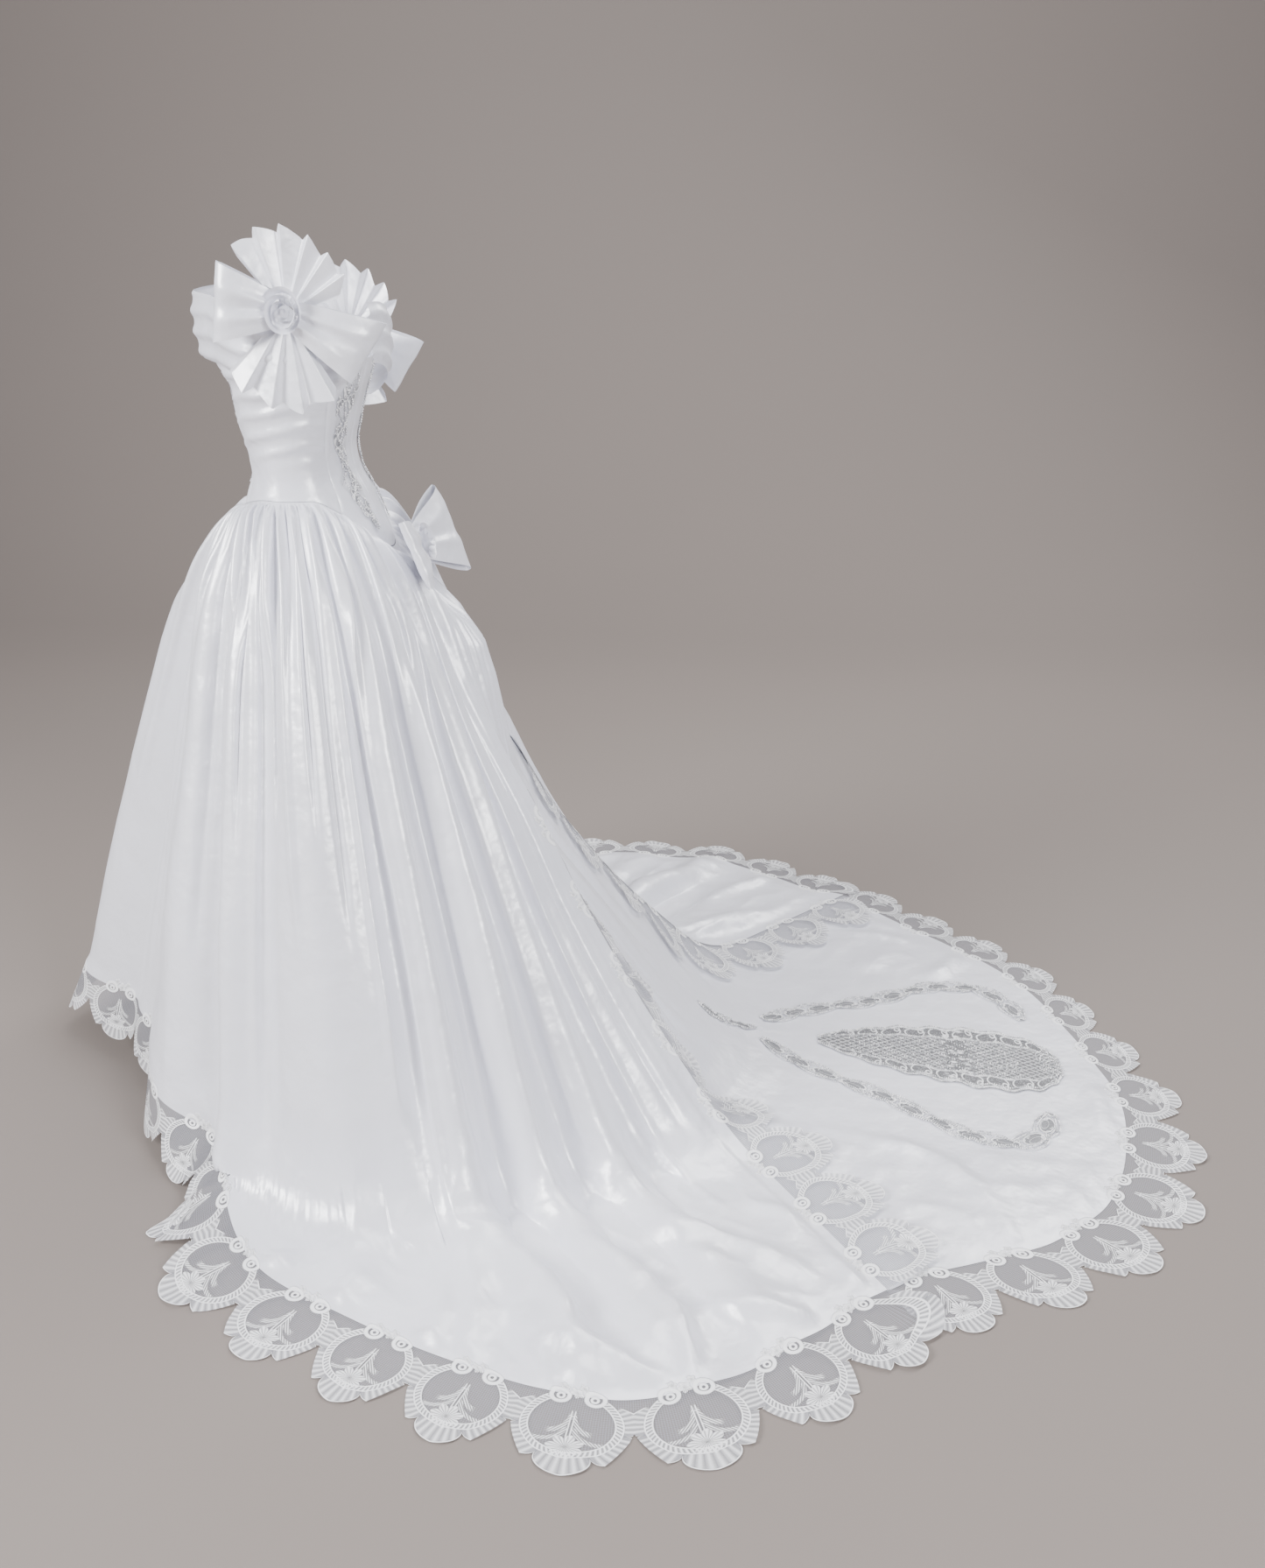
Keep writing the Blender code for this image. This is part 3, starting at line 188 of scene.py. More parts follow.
# Each row is one run of the cloth: where it leaves the waist, meets the floor and ends
SKIRT = table(
    "waist foot_turn foot_radius hem_turn hem_radius hem_height lace_share",
    (
        (-258, -234.5, 0.824, -230.6, 1.262, 0.0065, 0.60),
        (-248, -229.5, 0.775, -226.3, 1.215, 0.0060, 0.60),
        (-238, -223.0, 0.720, -220.0, 1.205, 0.0040, 0.60),
        (-227, -216.0, 0.665, -214.3, 1.190, 0.0030, 0.60),
        (-216, -209.5, 0.620, -208.8, 1.135, 0.0030, 0.60),
        (-204, -203.0, 0.585, -202.3, 1.095, 0.0030, 0.65),
        (-192, -196.5, 0.550, -196.0, 0.960, 0.0030, 0.80),
        (-180, -189.0, 0.520, -188.0, 0.785, 0.0060, 1.00),
        (-168, -179, 0.500, -179.0, 0.645, 0.0150, 1.00),
        (-155, -168, 0.490, -168.0, 0.530, 0.0500, 1.00),
        (-140, -155, 0.500, -155.0, 0.500, 0.0900, 1.00),
        (-126, -138, 0.520, -138.0, 0.520, 0.1200, 1.00),
        (-112, -120, 0.560, -120.0, 0.560, 0.1350, 1.00),
        (-95, -102, 0.545, -102.0, 0.545, 0.1350, 1.00),
        (-82, -85, 0.400, -85.0, 0.400, 0.1400, 1.00),
        (-70, -70, 0.360, -70.0, 0.360, 0.1350, 1.00),
        (-60, -55, 0.366, -55.0, 0.366, 0.1240, 1.00),
        (-52, -38, 0.375, -38.0, 0.375, 0.0950, 1.00),
        (-42, -21, 0.390, -21.0, 0.390, 0.0700, 1.00),
        (-28, -13, 0.430, -13.0, 0.462, 0.0350, 1.00),
        (-13, 0, 0.465, 0.0, 0.609, 0.0120, 1.00),
        (0, 12, 0.495, 12.2, 0.714, 0.0060, 1.00),
        (12, 22, 0.520, 21.9, 0.832, 0.0030, 1.00),
        (24, 31, 0.540, 29.2, 0.945, 0.0030, 1.00),
        (35, 39, 0.560, 35.4, 1.030, 0.0030, 1.00),
        (46, 48, 0.590, 41.8, 1.072, 0.0030, 1.00),
        (57, 58, 0.630, 48.6, 1.094, 0.0040, 1.00),
        (68, 67, 0.690, 56.1, 1.113, 0.0060, 1.00),
        (78, 74.5, 0.755, 58.7, 1.131, 0.0065, 1.00),
    ),
)
# Ridges are positive and troughs negative; start and end are fractions of the run
FOLDS = table(
    "waist width depth start end",
    (
        (-242, 3.5, 0.018, 0.08, 0.80),
        (-234, 3.0, -0.022, 0.10, 0.80),
        (-227, 3.5, 0.024, 0.08, 0.92),
        (-219, 3.0, -0.026, 0.10, 0.80),
        (-212, 4.0, 0.022, 0.06, 0.90),
        (-203, 4.0, -0.028, 0.12, 0.75),
        (-192, 8.0, 0.020, 0.08, 0.80),
        (-178, 5.0, -0.018, 0.10, 0.70),
        (-164, 7.0, 0.022, 0.08, 0.95),
        (-150, 5.0, -0.020, 0.12, 0.90),
        (-138, 6.0, 0.020, 0.08, 1.00),
        (-124, 5.0, -0.018, 0.15, 0.90),
        (-110, 6.0, 0.012, 0.08, 1.00),
        (-96, 5.0, 0.014, 0.12, 1.00),
        (-84, 5.0, -0.014, 0.10, 1.00),
        (-68, 5.0, -0.016, 0.12, 1.00),
        (-54, 5.0, 0.020, 0.05, 1.00),
        (-45, 4.0, -0.018, 0.12, 0.90),
        (-32, 7.0, 0.018, 0.12, 1.00),
        (-18, 5.0, -0.016, 0.12, 0.80),
        (2, 12.0, 0.024, 0.08, 0.72),
        (20, 4.0, -0.018, 0.05, 0.60),
        (29, 5.0, 0.018, 0.06, 0.85),
        (37, 3.5, -0.032, 0.12, 0.78),
        (44, 4.0, 0.026, 0.08, 0.90),
        (51, 3.0, -0.024, 0.10, 0.80),
        (57, 3.5, 0.022, 0.08, 0.92),
        (63, 3.0, -0.020, 0.10, 0.75),
    ),
)
CENTRE_BACK = table(
    "distance height",
    (
        (0.140, 1.005),
        (0.150, 0.985),
        (0.163, 0.960),
        (0.184, 0.935),
        (0.216, 0.908),
        (0.255, 0.880),
        (0.283, 0.840),
        (0.298, 0.780),
        (0.308, 0.710),
        (0.318, 0.640),
        (0.330, 0.573),
        (0.347, 0.525),
        (0.372, 0.475),
        (0.404, 0.425),
        (0.462, 0.345),
        (0.556, 0.205),
        (0.632, 0.110),
        (0.695, 0.052),
        (0.752, 0.020),
        (0.820, 0.005),
        (0.880, 0.0022),
        (1.100, 0.0022),
        (1.375, 0.0022),
    ),
)
# Satin edge of the train, around TRAIN_CENTRE
TRAIN_RIM = table(
    "turn radius lace_share",
    (
        (13.2, 0.727, 1.0),
        (20.0, 0.700, 1.0),
        (29.0, 0.705, 1.0),
        (38.0, 0.720, 1.0),
        (47.0, 0.720, 1.0),
        (55.0, 0.705, 1.0),
        (64.4, 0.680, 0.95),
        (76.8, 0.650, 0.8),
        (90.0, 0.607, 0.7),
        (105.0, 0.587, 0.6),
        (120.0, 0.590, 0.6),
        (135.0, 0.592, 0.6),
        (148.0, 0.610, 0.6),
        (158.0, 0.650, 0.6),
        (165.6, 0.702, 0.6),
    ),
)
TRAIN_FOLDS = table(
    "across width depth start end",
    (
        (-0.42, 0.10, -0.010, 0.10, 0.50),
        (-0.10, 0.12, 0.010, 0.12, 0.45),
        (0.32, 0.10, -0.010, 0.10, 0.50),
    ),
)
# Bow pieces, seen from outside: angle from the wearer's back, turning up
FAN_TOP = table(
    "turn radius",
    ((18, 0.086), (35, 0.100), (58, 0.104), (74, 0.112), (95, 0.118), (115, 0.118), (130, 0.108)),
)
FAN_LOW = table("turn radius", ((222, 0.130), (245, 0.128), (270, 0.138), (285, 0.134), (300, 0.130)))
# Beaded lace on the bodice, from its top to its tip
BACK_APPLIQUE = table(
    "height centre half_width",
    (
        (1.300, 66, 11.0),
        (1.255, 64, 12.0),
        (1.215, 61, 11.0),
        (1.180, 62, 8.0),
        (1.150, 65, 7.0),
        (1.120, 64, 11.0),
        (1.090, 66, 9.0),
        (1.062, 71, 5.5),
        (1.040, 75, 3.0),
    ),
)
FRONT_APPLIQUE = table(
    "height centre half_width",
    (
        (1.292, -90, 24.0),
        (1.245, -90, 17.0),
        (1.205, -90, 15.0),
        (1.165, -90, 11.0),
        (1.135, -90, 7.0),
        (1.105, -90, 3.0),
    ),
)
SCROLL = table(
    "along across width",
    (
        (0.780, 0.040, 0.020),
        (0.850, 0.095, 0.036),
        (0.930, 0.140, 0.026),
        (1.010, 0.180, 0.038),
        (1.085, 0.235, 0.026),
        (1.150, 0.270, 0.036),
        (1.215, 0.278, 0.030),
        (1.272, 0.235, 0.042),
        (1.300, 0.165, 0.022),
    ),
)
MEDALLION = table(
    "along half_width",
    (
        (0.890, 0.012),
        (0.930, 0.038),
        (0.990, 0.066),
        (1.060, 0.088),
        (1.130, 0.100),
        (1.200, 0.108),
        (1.270, 0.100),
        (1.320, 0.070),
        (1.345, 0.030),
    ),
)
TRAIN_STEM = table(
    "along across width",
    ((0.655, 0.050, 0.012), (0.690, 0.042, 0.024), (0.730, 0.024, 0.018), (0.770, 0.004, 0.010)),
)
# The band around chest and arm, as places of its outline in plan
BAND = table(
    "x y",
    (
        (0.000, -0.139),
        (0.055, -0.134),
        (0.102, -0.112),
        (0.150, -0.080),
        (0.200, -0.048),
        (0.240, -0.010),
        (0.256, 0.035),
        (0.250, 0.080),
        (0.222, 0.108),
        (0.180, 0.120),
        (0.140, 0.108),
        (0.109, 0.0875),
    ),
)


def smooth_curve(x, xs, ys):
    """Values of a table column between its rows, on a smooth curve with no overshoot."""
    x = np.clip(x, xs[0], xs[-1])
    step = np.diff(xs)
    slope = np.diff(ys) / step
    before, after = slope[:-1], slope[1:]
    rising = before * after > 0
    mean = np.where(rising, 2 * before * after / np.where(rising, before + after, 1.0), 0.0)
    slopes = np.concatenate([slope[:1], mean, slope[-1:]])
    i = np.clip(np.searchsorted(xs, x, side="right") - 1, 0, len(step) - 1)
    t = (x - xs[i]) / step[i]
    start = (2 * t**3 - 3 * t**2 + 1) * ys[i] + (t**3 - 2 * t**2 + t) * step[i] * slopes[i]
    end = (3 * t**2 - 2 * t**3) * ys[i + 1] + (t**3 - t**2) * step[i] * slopes[i + 1]
    return start + end


def ease(t):
    t = np.clip(t, 0.0, 1.0)
    return t * t * (3 - 2 * t)


def direction(turn):
    return np.stack([np.cos(np.radians(turn)), np.sin(np.radians(turn))], axis=-1)


def mirrored_turn(turn):
    """The like place on the wearer's left, from -90 at front centre to 90 at back centre."""
    turn = np.mod(np.asarray(turn, float) + 90.0, 360.0)
    return np.where(turn > 180.0, 360.0 - turn, turn) - 90.0


def body_point(turn, height):
    """Outside of the bodice at one turn around the body and one height."""
    turn = np.asarray(turn, float)
    width = smooth_curve(height, BODY["height"], BODY["half_width"])
    front = smooth_curve(height, BODY["height"], BODY["front"])
    back = smooth_curve(height, BODY["height"], BODY["back"])
    unit = direction(turn)
    depth = np.where(unit[..., 1] < 0, front, back)
    return np.stack([width * unit[..., 0], depth * unit[..., 1], height + 0.0 * turn], axis=-1)


def edge_height(turn, which):
    return smooth_curve(mirrored_turn(turn), EDGES["turn"], EDGES[which])


def unit(vectors):
    return vectors / np.maximum(np.linalg.norm(vectors, axis=-1, keepdims=True), 1e-12)


def smoothed(line, times):
    """A line of values softened along its length, its ends kept."""
    for _ in range(times):
        line = np.concatenate([line[:1], (line[:-2] + 2 * line[1:-1] + line[2:]) / 4, line[-1:]])
    return line


def grid_normals(grid, outward):
    """Unit normals of a grid of points, turned to the side that outward points to."""
    normals = unit(np.cross(np.gradient(grid, axis=0), np.gradient(grid, axis=1)))
    return -normals if (normals * outward).sum() < 0 else normals


def skirt_value(waist, name):
    return smooth_curve(waist, SKIRT["waist"], SKIRT[name])


def resampled(path, fractions):
    """Points of a path at fractions of its length."""
    lengths = np.concatenate([[0.0], np.cumsum(np.linalg.norm(np.diff(path, axis=0), axis=1))])
    at = np.asarray(fractions) * lengths[-1]
    return np.stack([np.interp(at, lengths, path[:, axis]) for axis in range(3)], axis=-1)


def rounded(path, corner, radius):
    """The path with its corner at one index eased over radius each way."""
    count = 240
    dense = resampled(path, np.linspace(0, 1, count))
    length = np.linalg.norm(np.diff(dense, axis=0), axis=1).sum()
    reach = max(2, int(radius / length * count))
    before = 2 * dense[:1] - dense[reach:0:-1]
    after = 2 * dense[-1:] - dense[-2 : -reach - 2 : -1]
    padded = np.concatenate([before, dense, after])
    window = np.ones(2 * reach + 1) / (2 * reach + 1)
    soft = np.stack([np.convolve(padded[:, axis], window, "valid") for axis in range(3)], axis=-1)
    away = np.linalg.norm(dense - path[corner], axis=1)
    weight = 1 - ease((away - radius) / (2 * radius))
    return dense + (soft - dense) * weight[:, None]


def skirt_run(waist, fractions):
    """One run of the skirt, from the waist seam down to the hem."""
    seam = edge_height(waist, "seam")
    top = body_point(waist, seam)
    foot = direction(skirt_value(waist, "foot_turn")) * skirt_value(waist, "foot_radius")
    hem = direction(skirt_value(waist, "hem_turn")) * skirt_value(waist, "hem_radius")
    hem_height = skirt_value(waist, "hem_height")
    drops = np.linspace(0, 1, 70) ** 1.4 * (1 - hem_height / seam)
    back = ease((mirrored_turn(waist) - 35.0) / (REAR_EDGE_DEG - 35.0))
    reach = smooth_curve(drops, STAND["drop"], STAND["reach"]) * (1 - back)
    reach += smooth_curve(drops, STAND["drop"], STAND["back_reach"]) * back
    reach = (reach / reach[-1])[:, None]
    bowed = FAR_REAR_BOW * back if waist < -90.0 else 0.0
    reach = np.concatenate([reach, reach ** (1.0 + bowed)], axis=1)
    standing = np.concatenate([top[:2] + (foot - top[:2]) * reach, (seam * (1 - drops))[:, None]], axis=1)
    spread = np.linalg.norm(hem - foot)
    if spread < 0.005:
        return resampled(standing, fractions)
    steps = np.linspace(0, 1, 40)[1:, None]
    lying = np.concatenate([foot + (hem - foot) * steps, np.full((39, 1), hem_height)], axis=1)
    radius = min(FLOOR_ROUNDING, spread * 0.5)
    return resampled(rounded(np.concatenate([standing, lying]), len(standing) - 1, radius), fractions)


def fold_depth(folds, key, place, fractions):
    """Depth of the folds at each place across a panel and each fraction of its run."""
    depth = np.zeros((len(fractions), len(place)))
    for k in range(len(folds["depth"])):
        across = np.exp(-(((place - folds[key][k]) / folds["width"][k]) ** 2))
        along = ease((fractions - folds["start"][k]) / 0.12)
        along = along * (1 - ease((fractions - folds["end"][k]) / 0.15))
        depth += folds["depth"][k] * along[:, None] * across[None, :]
    return depth


def over_skirt(waists, fractions):
    """Front and side panels in one grid: outer points and normals."""
    base = np.stack([skirt_run(waist, fractions) for waist in waists], axis=1)
    outward = base * (1, 1, 0) + (0, 0, 0.3)
    normals = grid_normals(base, outward)
    depth = fold_depth(FOLDS, "waist", waists, fractions)
    depth *= (0.25 + 0.75 * ease(fractions / 0.35))[:, None]
    gather = GATHER_DEPTH * ease(fractions / 0.03) * (1 - ease((fractions - 0.06) / 0.22))
    waves = np.cos(2 * math.pi * (waists - FRONT_SEAM_DEG) / GATHER_DEG)
    depth += gather[:, None] * waves[None, :]
    points = base + normals * depth[..., None]
    near_edge = np.minimum(np.abs(waists - REAR_EDGE_DEG), np.abs(waists - FAR_REAR_EDGE_DEG))
    lowest = SATIN + GAP + 0.0044 * (1 - ease((near_edge - 6.0) / 12.0))
    points[..., 2] = np.maximum(points[..., 2], lowest[None, :])
    return points, grid_normals(points, outward)


def centre_back(fractions):
    path = np.stack([0 * CENTRE_BACK["height"], CENTRE_BACK["distance"], CENTRE_BACK["height"]], axis=-1)
    path[:, 0] = TRAIN_CENTRE[0] * ease((path[:, 1] - 0.35) / 0.6)
    return resampled(path, fractions)


def rim_turns(columns):
    """Where each column of the train ends on its rim, from the far corner to the near one."""
    across = np.linspace(-1, 1, columns)
    near_end, far_end = TRAIN_RIM["turn"][0], TRAIN_RIM["turn"][-1]
    return 90.0 - across * np.where(across > 0, 90.0 - near_end, far_end - 90.0)


def train(near_edge, far_edge, fractions, columns):
    """Centre back panel and train in one grid, from the far edge to the near edge."""
    across = np.linspace(-1, 1, columns)
    centre = centre_back(fractions)
    share = np.abs(across)[None, :]
    level = share ** (2.0 + 6.0 * ease((fractions - 0.52) / 0.16))[:, None]
    side = np.where(across[None, :, None] < 0, far_edge[:, None, :], near_edge[:, None, :])
    middle = centre[:, None, :]
    blend = np.stack([share + 0 * level, share**2 + 0 * level, level], axis=-1)
    points = middle + (side - middle) * blend
    turns = rim_turns(columns)
    radii = smooth_curve(turns, TRAIN_RIM["turn"], TRAIN_RIM["radius"])
    rim = np.array(TRAIN_CENTRE) + direction(turns) * radii[:, None]
    bulge = rim - points[-1, :, :2]
    bulge[[0, -1]] = 0.0
    lying = ease((fractions - 0.50) / 0.50) ** 1.5
    points[..., :2] += lying[:, None, None] * bulge[None]
    depth = fold_depth(TRAIN_FOLDS, "across", across, fractions) * (1 - share**4)
    points += grid_normals(points, TRAIN_OUTWARD) * depth[..., None]
    points[..., 2] = np.maximum(points[..., 2], SATIN + GAP)
    return points


def arc_lengths(line):
    return np.concatenate([[0.0], np.cumsum(np.linalg.norm(np.diff(line, axis=0), axis=1))])


def along(line, values, distances):
    """Values on a line, at distances from its start."""
    lengths = arc_lengths(line)
    return np.stack([np.interp(distances, lengths, values[:, k]) for k in range(values.shape[1])], axis=-1)


def plan_away(line, centre):
    """Level directions out from a line, away from a centre."""
    tangent = np.gradient(smoothed(line, 3), axis=0)
    away = unit(np.stack([tangent[:, 1], -tangent[:, 0], 0 * tangent[:, 0]], axis=-1))
    return -away if (away[:, :2] * (line[:, :2] - np.array(centre))).sum() < 0 else away


def turned(vectors, degrees):
    """Level directions turned about the upright."""
    cos, sin = np.cos(np.radians(degrees)), np.sin(np.radians(degrees))
    x, y = vectors[:, 0], vectors[:, 1]
    return np.stack([x * cos - y * sin, x * sin + y * cos, vectors[:, 2]], axis=-1)


def band_half(far_arm):
    """Half of the off-the-shoulder band, from centre front round the arm to the back."""
    last = len(BAND["x"]) - 1
    places = np.linspace(0, last, 2 * last + 1)
    rows = np.arange(last + 1, dtype=float)
    line = np.stack([smooth_curve(places, rows, BAND[axis]) for axis in "xy"], axis=-1)
    tangent = np.gradient(line, axis=0)
    away = unit(np.stack([tangent[:, 1], -tangent[:, 0]], axis=-1))
    away[0] = (0.0, -1.0)
    at_arm = ease((places - 2.0) / 4.0) * (1 - ease((places - 7.0) / 3.5))
    drop = 0.030 * ease((places - 3.0) / 4.0)
    if far_arm:
        drop = drop + FAR_ARM_FALL * at_arm
        line[:, 1] -= FAR_ARM_FORWARD * at_arm
    roll = np.array([0.006, 0.009, 0.009, 0.006, 0.000])
    grid = np.empty((len(roll), len(places), 3))
    grid[..., :2] = line[None] + away[None] * roll[:, None, None]
    grid[..., 2] = np.linspace(BAND_TOP, BAND_BOTTOM, len(roll))[:, None] - drop[None, :]
    return grid


def placed(local, centre, along_axis, across_axis, out_axis):
    """Points given as along, across and out, set on a bow's own axes."""
    axes = np.array([along_axis, across_axis, out_axis], float)
    axes /= np.linalg.norm(axes, axis=1, keepdims=True)
    return np.array(centre) + local @ axes


# Soft folds and creases: how far round the waist, and between which shares of the run
CREASES = table(
    "waist width depth start end",
    (
        (-250, 1.2, 0.006, 0.04, 0.70),
        (-231, 1.0, -0.007, 0.05, 0.62),
        (-208, 1.3, 0.006, 0.03, 0.55),
        (-186, 1.6, -0.008, 0.05, 0.60),
        (-171, 1.2, 0.007, 0.03, 0.48),
        (-157, 1.5, -0.007, 0.06, 0.66),
        (-144, 1.1, 0.006, 0.03, 0.42),
        (-131, 1.4, -0.007, 0.06, 0.80),
        (-117, 1.1, 0.006, 0.03, 0.45),
        (-103, 1.4, -0.007, 0.06, 0.75),
        (-90, 1.1, 0.006, 0.03, 0.50),
        (-76, 1.3, -0.007, 0.05, 0.80),
        (-61, 1.2, 0.008, 0.03, 0.55),
        (-49, 1.0, -0.008, 0.05, 0.62),
        (-38, 1.2, 0.007, 0.03, 0.50),
        (-27, 0.9, -0.009, 0.03, 0.36),
        (-21, 1.4, 0.008, 0.05, 0.70),
        (-11, 0.9, -0.010, 0.02, 0.30),
        (-5, 1.2, 0.007, 0.04, 0.42),
        (3, 0.8, -0.010, 0.02, 0.27),
        (9, 1.0, -0.007, 0.05, 0.38),
        (15, 1.1, 0.009, 0.03, 0.55),
        (24, 1.0, 0.010, 0.03, 0.64),
        (33, 0.9, -0.008, 0.04, 0.58),
        (40, 0.8, 0.007, 0.05, 0.52),
        (47, 1.0, -0.009, 0.06, 0.66),
        (54, 0.8, 0.008, 0.05, 0.60),
        (60, 0.8, -0.007, 0.06, 0.55),
        (66, 0.9, 0.008, 0.05, 0.70),
        (71, 0.8, -0.007, 0.08, 0.60),
        (75, 0.8, 0.007, 0.10, 0.80),
    ),
)
# Creases where the cloth lies on the floor, in plan: middle, way, length, width and rise
FLOOR_CREASES = table(
    "x y turn length width rise",
    (
        (0.60, 0.34, 14, 0.34, 0.030, 0.017),
        (0.66, 0.46, 30, 0.40, 0.026, 0.020),
        (0.58, 0.57, 48, 0.30, 0.022, 0.014),
        (0.74, 0.30, -6, 0.26, 0.020, 0.011),
        (0.78, 0.58, 62, 0.30, 0.020, 0.012),
        (0.50, 0.72, 70, 0.34, 0.024, 0.015),
        (0.66, 0.78, 84, 0.30, 0.018, 0.010),
        (0.70, 0.12, -40, 0.24, 0.020, 0.012),
        (0.62, -0.02, -66, 0.26, 0.018, 0.010),
        (0.82, 0.44, 100, 0.22, 0.016, 0.008),
        (0.72, 0.66, 20, 0.24, 0.014, 0.008),
        (0.44, 0.88, 58, 0.26, 0.018, 0.011),
        (-0.60, 0.66, 128, 0.40, 0.028, 0.018),
        (-0.72, 0.50, 150, 0.36, 0.026, 0.018),
        (-0.62, 0.86, 112, 0.34, 0.024, 0.014),
        (-0.82, 0.74, 132, 0.28, 0.020, 0.012),
        (-0.58, 0.34, 160, 0.28, 0.022, 0.012),
        (-0.66, 0.18, 178, 0.28, 0.020, 0.011),
        (0.20, 1.02, 60, 0.34, 0.022, 0.010),
        (-0.30, 1.02, 118, 0.36, 0.024, 0.010),
        (0.34, 1.14, 26, 0.28, 0.018, 0.008),
        (-0.44, 1.16, 150, 0.28, 0.018, 0.008),
        (-0.02, 0.86, 96, 0.30, 0.020, 0.009),
        (0.06, 1.28, 10, 0.26, 0.016, 0.006),
        (-0.22, 1.34, 172, 0.24, 0.016, 0.006),
        (0.44, 0.98, 88, 0.22, 0.016, 0.008),
        (-0.60, 1.02, 80, 0.24, 0.016, 0.008),
    ),
)


def random_height(points, scale, stretch=(1.0, 1.0, 1.0), seed=0.0):
    """Smooth noise over points, from about -1 to 1."""
    placed_points = points * np.array(stretch) / scale + seed
    flat = placed_points.reshape(-1, 3)
    values = np.fromiter((noise.noise(Vector(point)) for point in flat), float, len(flat))
    return values.reshape(points.shape[:-1])


def creased(points, scale, stretch=(1.0, 1.0, 1.0), seed=0.0, sharpness=5.0):
    """Thin soft ridges wandering over points, from 0 to 1."""
    return (1.0 - np.abs(random_height(points, scale, stretch, seed))) ** sharpness


def floor_creases(points):
    """Rise of the listed creases at each point of the plan."""
    rise = np.zeros(points.shape[:-1])
    for k in range(len(FLOOR_CREASES["x"])):
        way = direction(FLOOR_CREASES["turn"][k])
        offset = points[..., :2] - (FLOOR_CREASES["x"][k], FLOOR_CREASES["y"][k])
        forward = offset @ way
        sideways = offset @ np.array([-way[1], way[0]])
        length = FLOOR_CREASES["length"][k]
        sideways = sideways + 0.35 * forward**2 / length
        taper = np.exp(-((forward / (0.42 * length)) ** 2))
        across = np.exp(-((sideways / FLOOR_CREASES["width"][k]) ** 2))
        rise += FLOOR_CREASES["rise"][k] * taper * across
    return rise


def lying_share(points):
    """How much of a point's cloth lies on the floor."""
    return 1 - ease((points[..., 2] - 0.02) / 0.16)


def rumpled_skirt(points, normals, waists, fractions, amount):
    """Finer gathers under the seam, slender folds and the floor's creases."""
    depth = fold_depth(CREASES, "waist", waists, fractions)
    fine = np.cos(2 * math.pi * (waists + 1.3 * np.sin(np.radians(waists * 7.0))) / (GATHER_DEG / 2.6))
    fine *= 0.6 + 0.4 * np.sin(np.radians(waists * 11.0))
    gather = 0.0030 * ease(fractions / 0.012) * (1 - ease((fractions - 0.02) / 0.13))
    depth += gather[:, None] * fine[None, :]
    run = np.broadcast_to(fractions[:, None], depth.shape)
    turn = np.broadcast_to(waists[None, :], depth.shape)
    place = np.stack([turn / 10.0, run * 3.2, 0 * run], axis=-1)
    long_folds = random_height(place, 1.0, seed=3.1)
    depth += 0.0100 * long_folds * (ease(fractions / 0.10))[:, None]
    lying = lying_share(points)
    depth += 0.0075 * creased(points, 0.16, seed=7.7) * lying
    depth += 0.0036 * creased(points, 0.075, seed=1.9) * lying
    depth += 0.0012 * creased(points, 0.11, (1, 1, 0.35), seed=5.3) * (1 - lying)
    depth += 1.3 * floor_creases(points) * lying
    edge = ease((1.0 - fractions) / 0.03)[:, None]
    top = ease(fractions / 0.01)[:, None]
    return points + normals * (amount * depth * edge * top)[..., None]


@functools.lru_cache(maxsize=2)
def skirt_grids(amount):
    """Outer points of the front and sides in one grid and of the train in another."""
    fractions = np.linspace(0, 1, PANEL_ROWS) ** ROW_CROWDING
    step = GATHER_DEG / 2 / PANEL_COLUMNS_EACH
    waists = np.arange(FAR_REAR_EDGE_DEG, REAR_EDGE_DEG + step / 2, step)
    plain, normals = over_skirt(waists, fractions)
    points = rumpled_skirt(plain, normals, waists, fractions, amount)
    edge = np.minimum(REAR_EDGE_DEG - waists, waists - FAR_REAR_EDGE_DEG)
    kept_form = (1 - ease((edge - 1.5) / 5.0))[None, :, None]
    points = points + (plain - points) * kept_form
    floor = SATIN + 0.0044 * (1 - ease((edge - 6.0) / 12.0))
    points[..., 2] = np.maximum(points[..., 2], floor[None, :])
    under = plain - normals * (SATIN + LAYER_GAP)
    free = int(np.argmax(points[:, -1, 2] < SEAM_END_HEIGHT)) + 1
    near_edge, far_edge = under[:, -1].copy(), under[:, 0].copy()
    near_edge[:free] = plain[:free, -1]
    far_edge[:free] = plain[:free, 0]
    columns = 2 * TRAIN_HALF + 1
    middle = train(near_edge, far_edge, fractions, columns)
    middle_normals = grid_normals(middle, TRAIN_OUTWARD)
    across = np.abs(np.linspace(-1, 1, columns))
    calm = (1 - across**6)[None, :] * ease((1.0 - fractions) / 0.03)[:, None]
    calm = calm * ease(fractions / 0.03)[:, None]
    lying = lying_share(middle)
    depth = 0.0080 * creased(middle, 0.17, seed=4.4) * lying
    depth += 0.0042 * creased(middle, 0.080, seed=2.2) * lying
    depth += floor_creases(middle) * lying
    place = np.stack(
        np.broadcast_arrays(across[None, :] * 7.0, fractions[:, None] * 4.0, 0.0), axis=-1
    )
    depth += 0.012 * random_height(place, 1.0, seed=8.2) * (1 - lying)
    clear_of_beading = 1 - 0.9 * beading_place(middle)
    middle = middle + middle_normals * (amount * depth * calm * clear_of_beading)[..., None]
    middle[..., 2] = np.maximum(middle[..., 2], SATIN)
    return points, normals, middle, grid_normals(middle, TRAIN_OUTWARD), under, waists, fractions, free


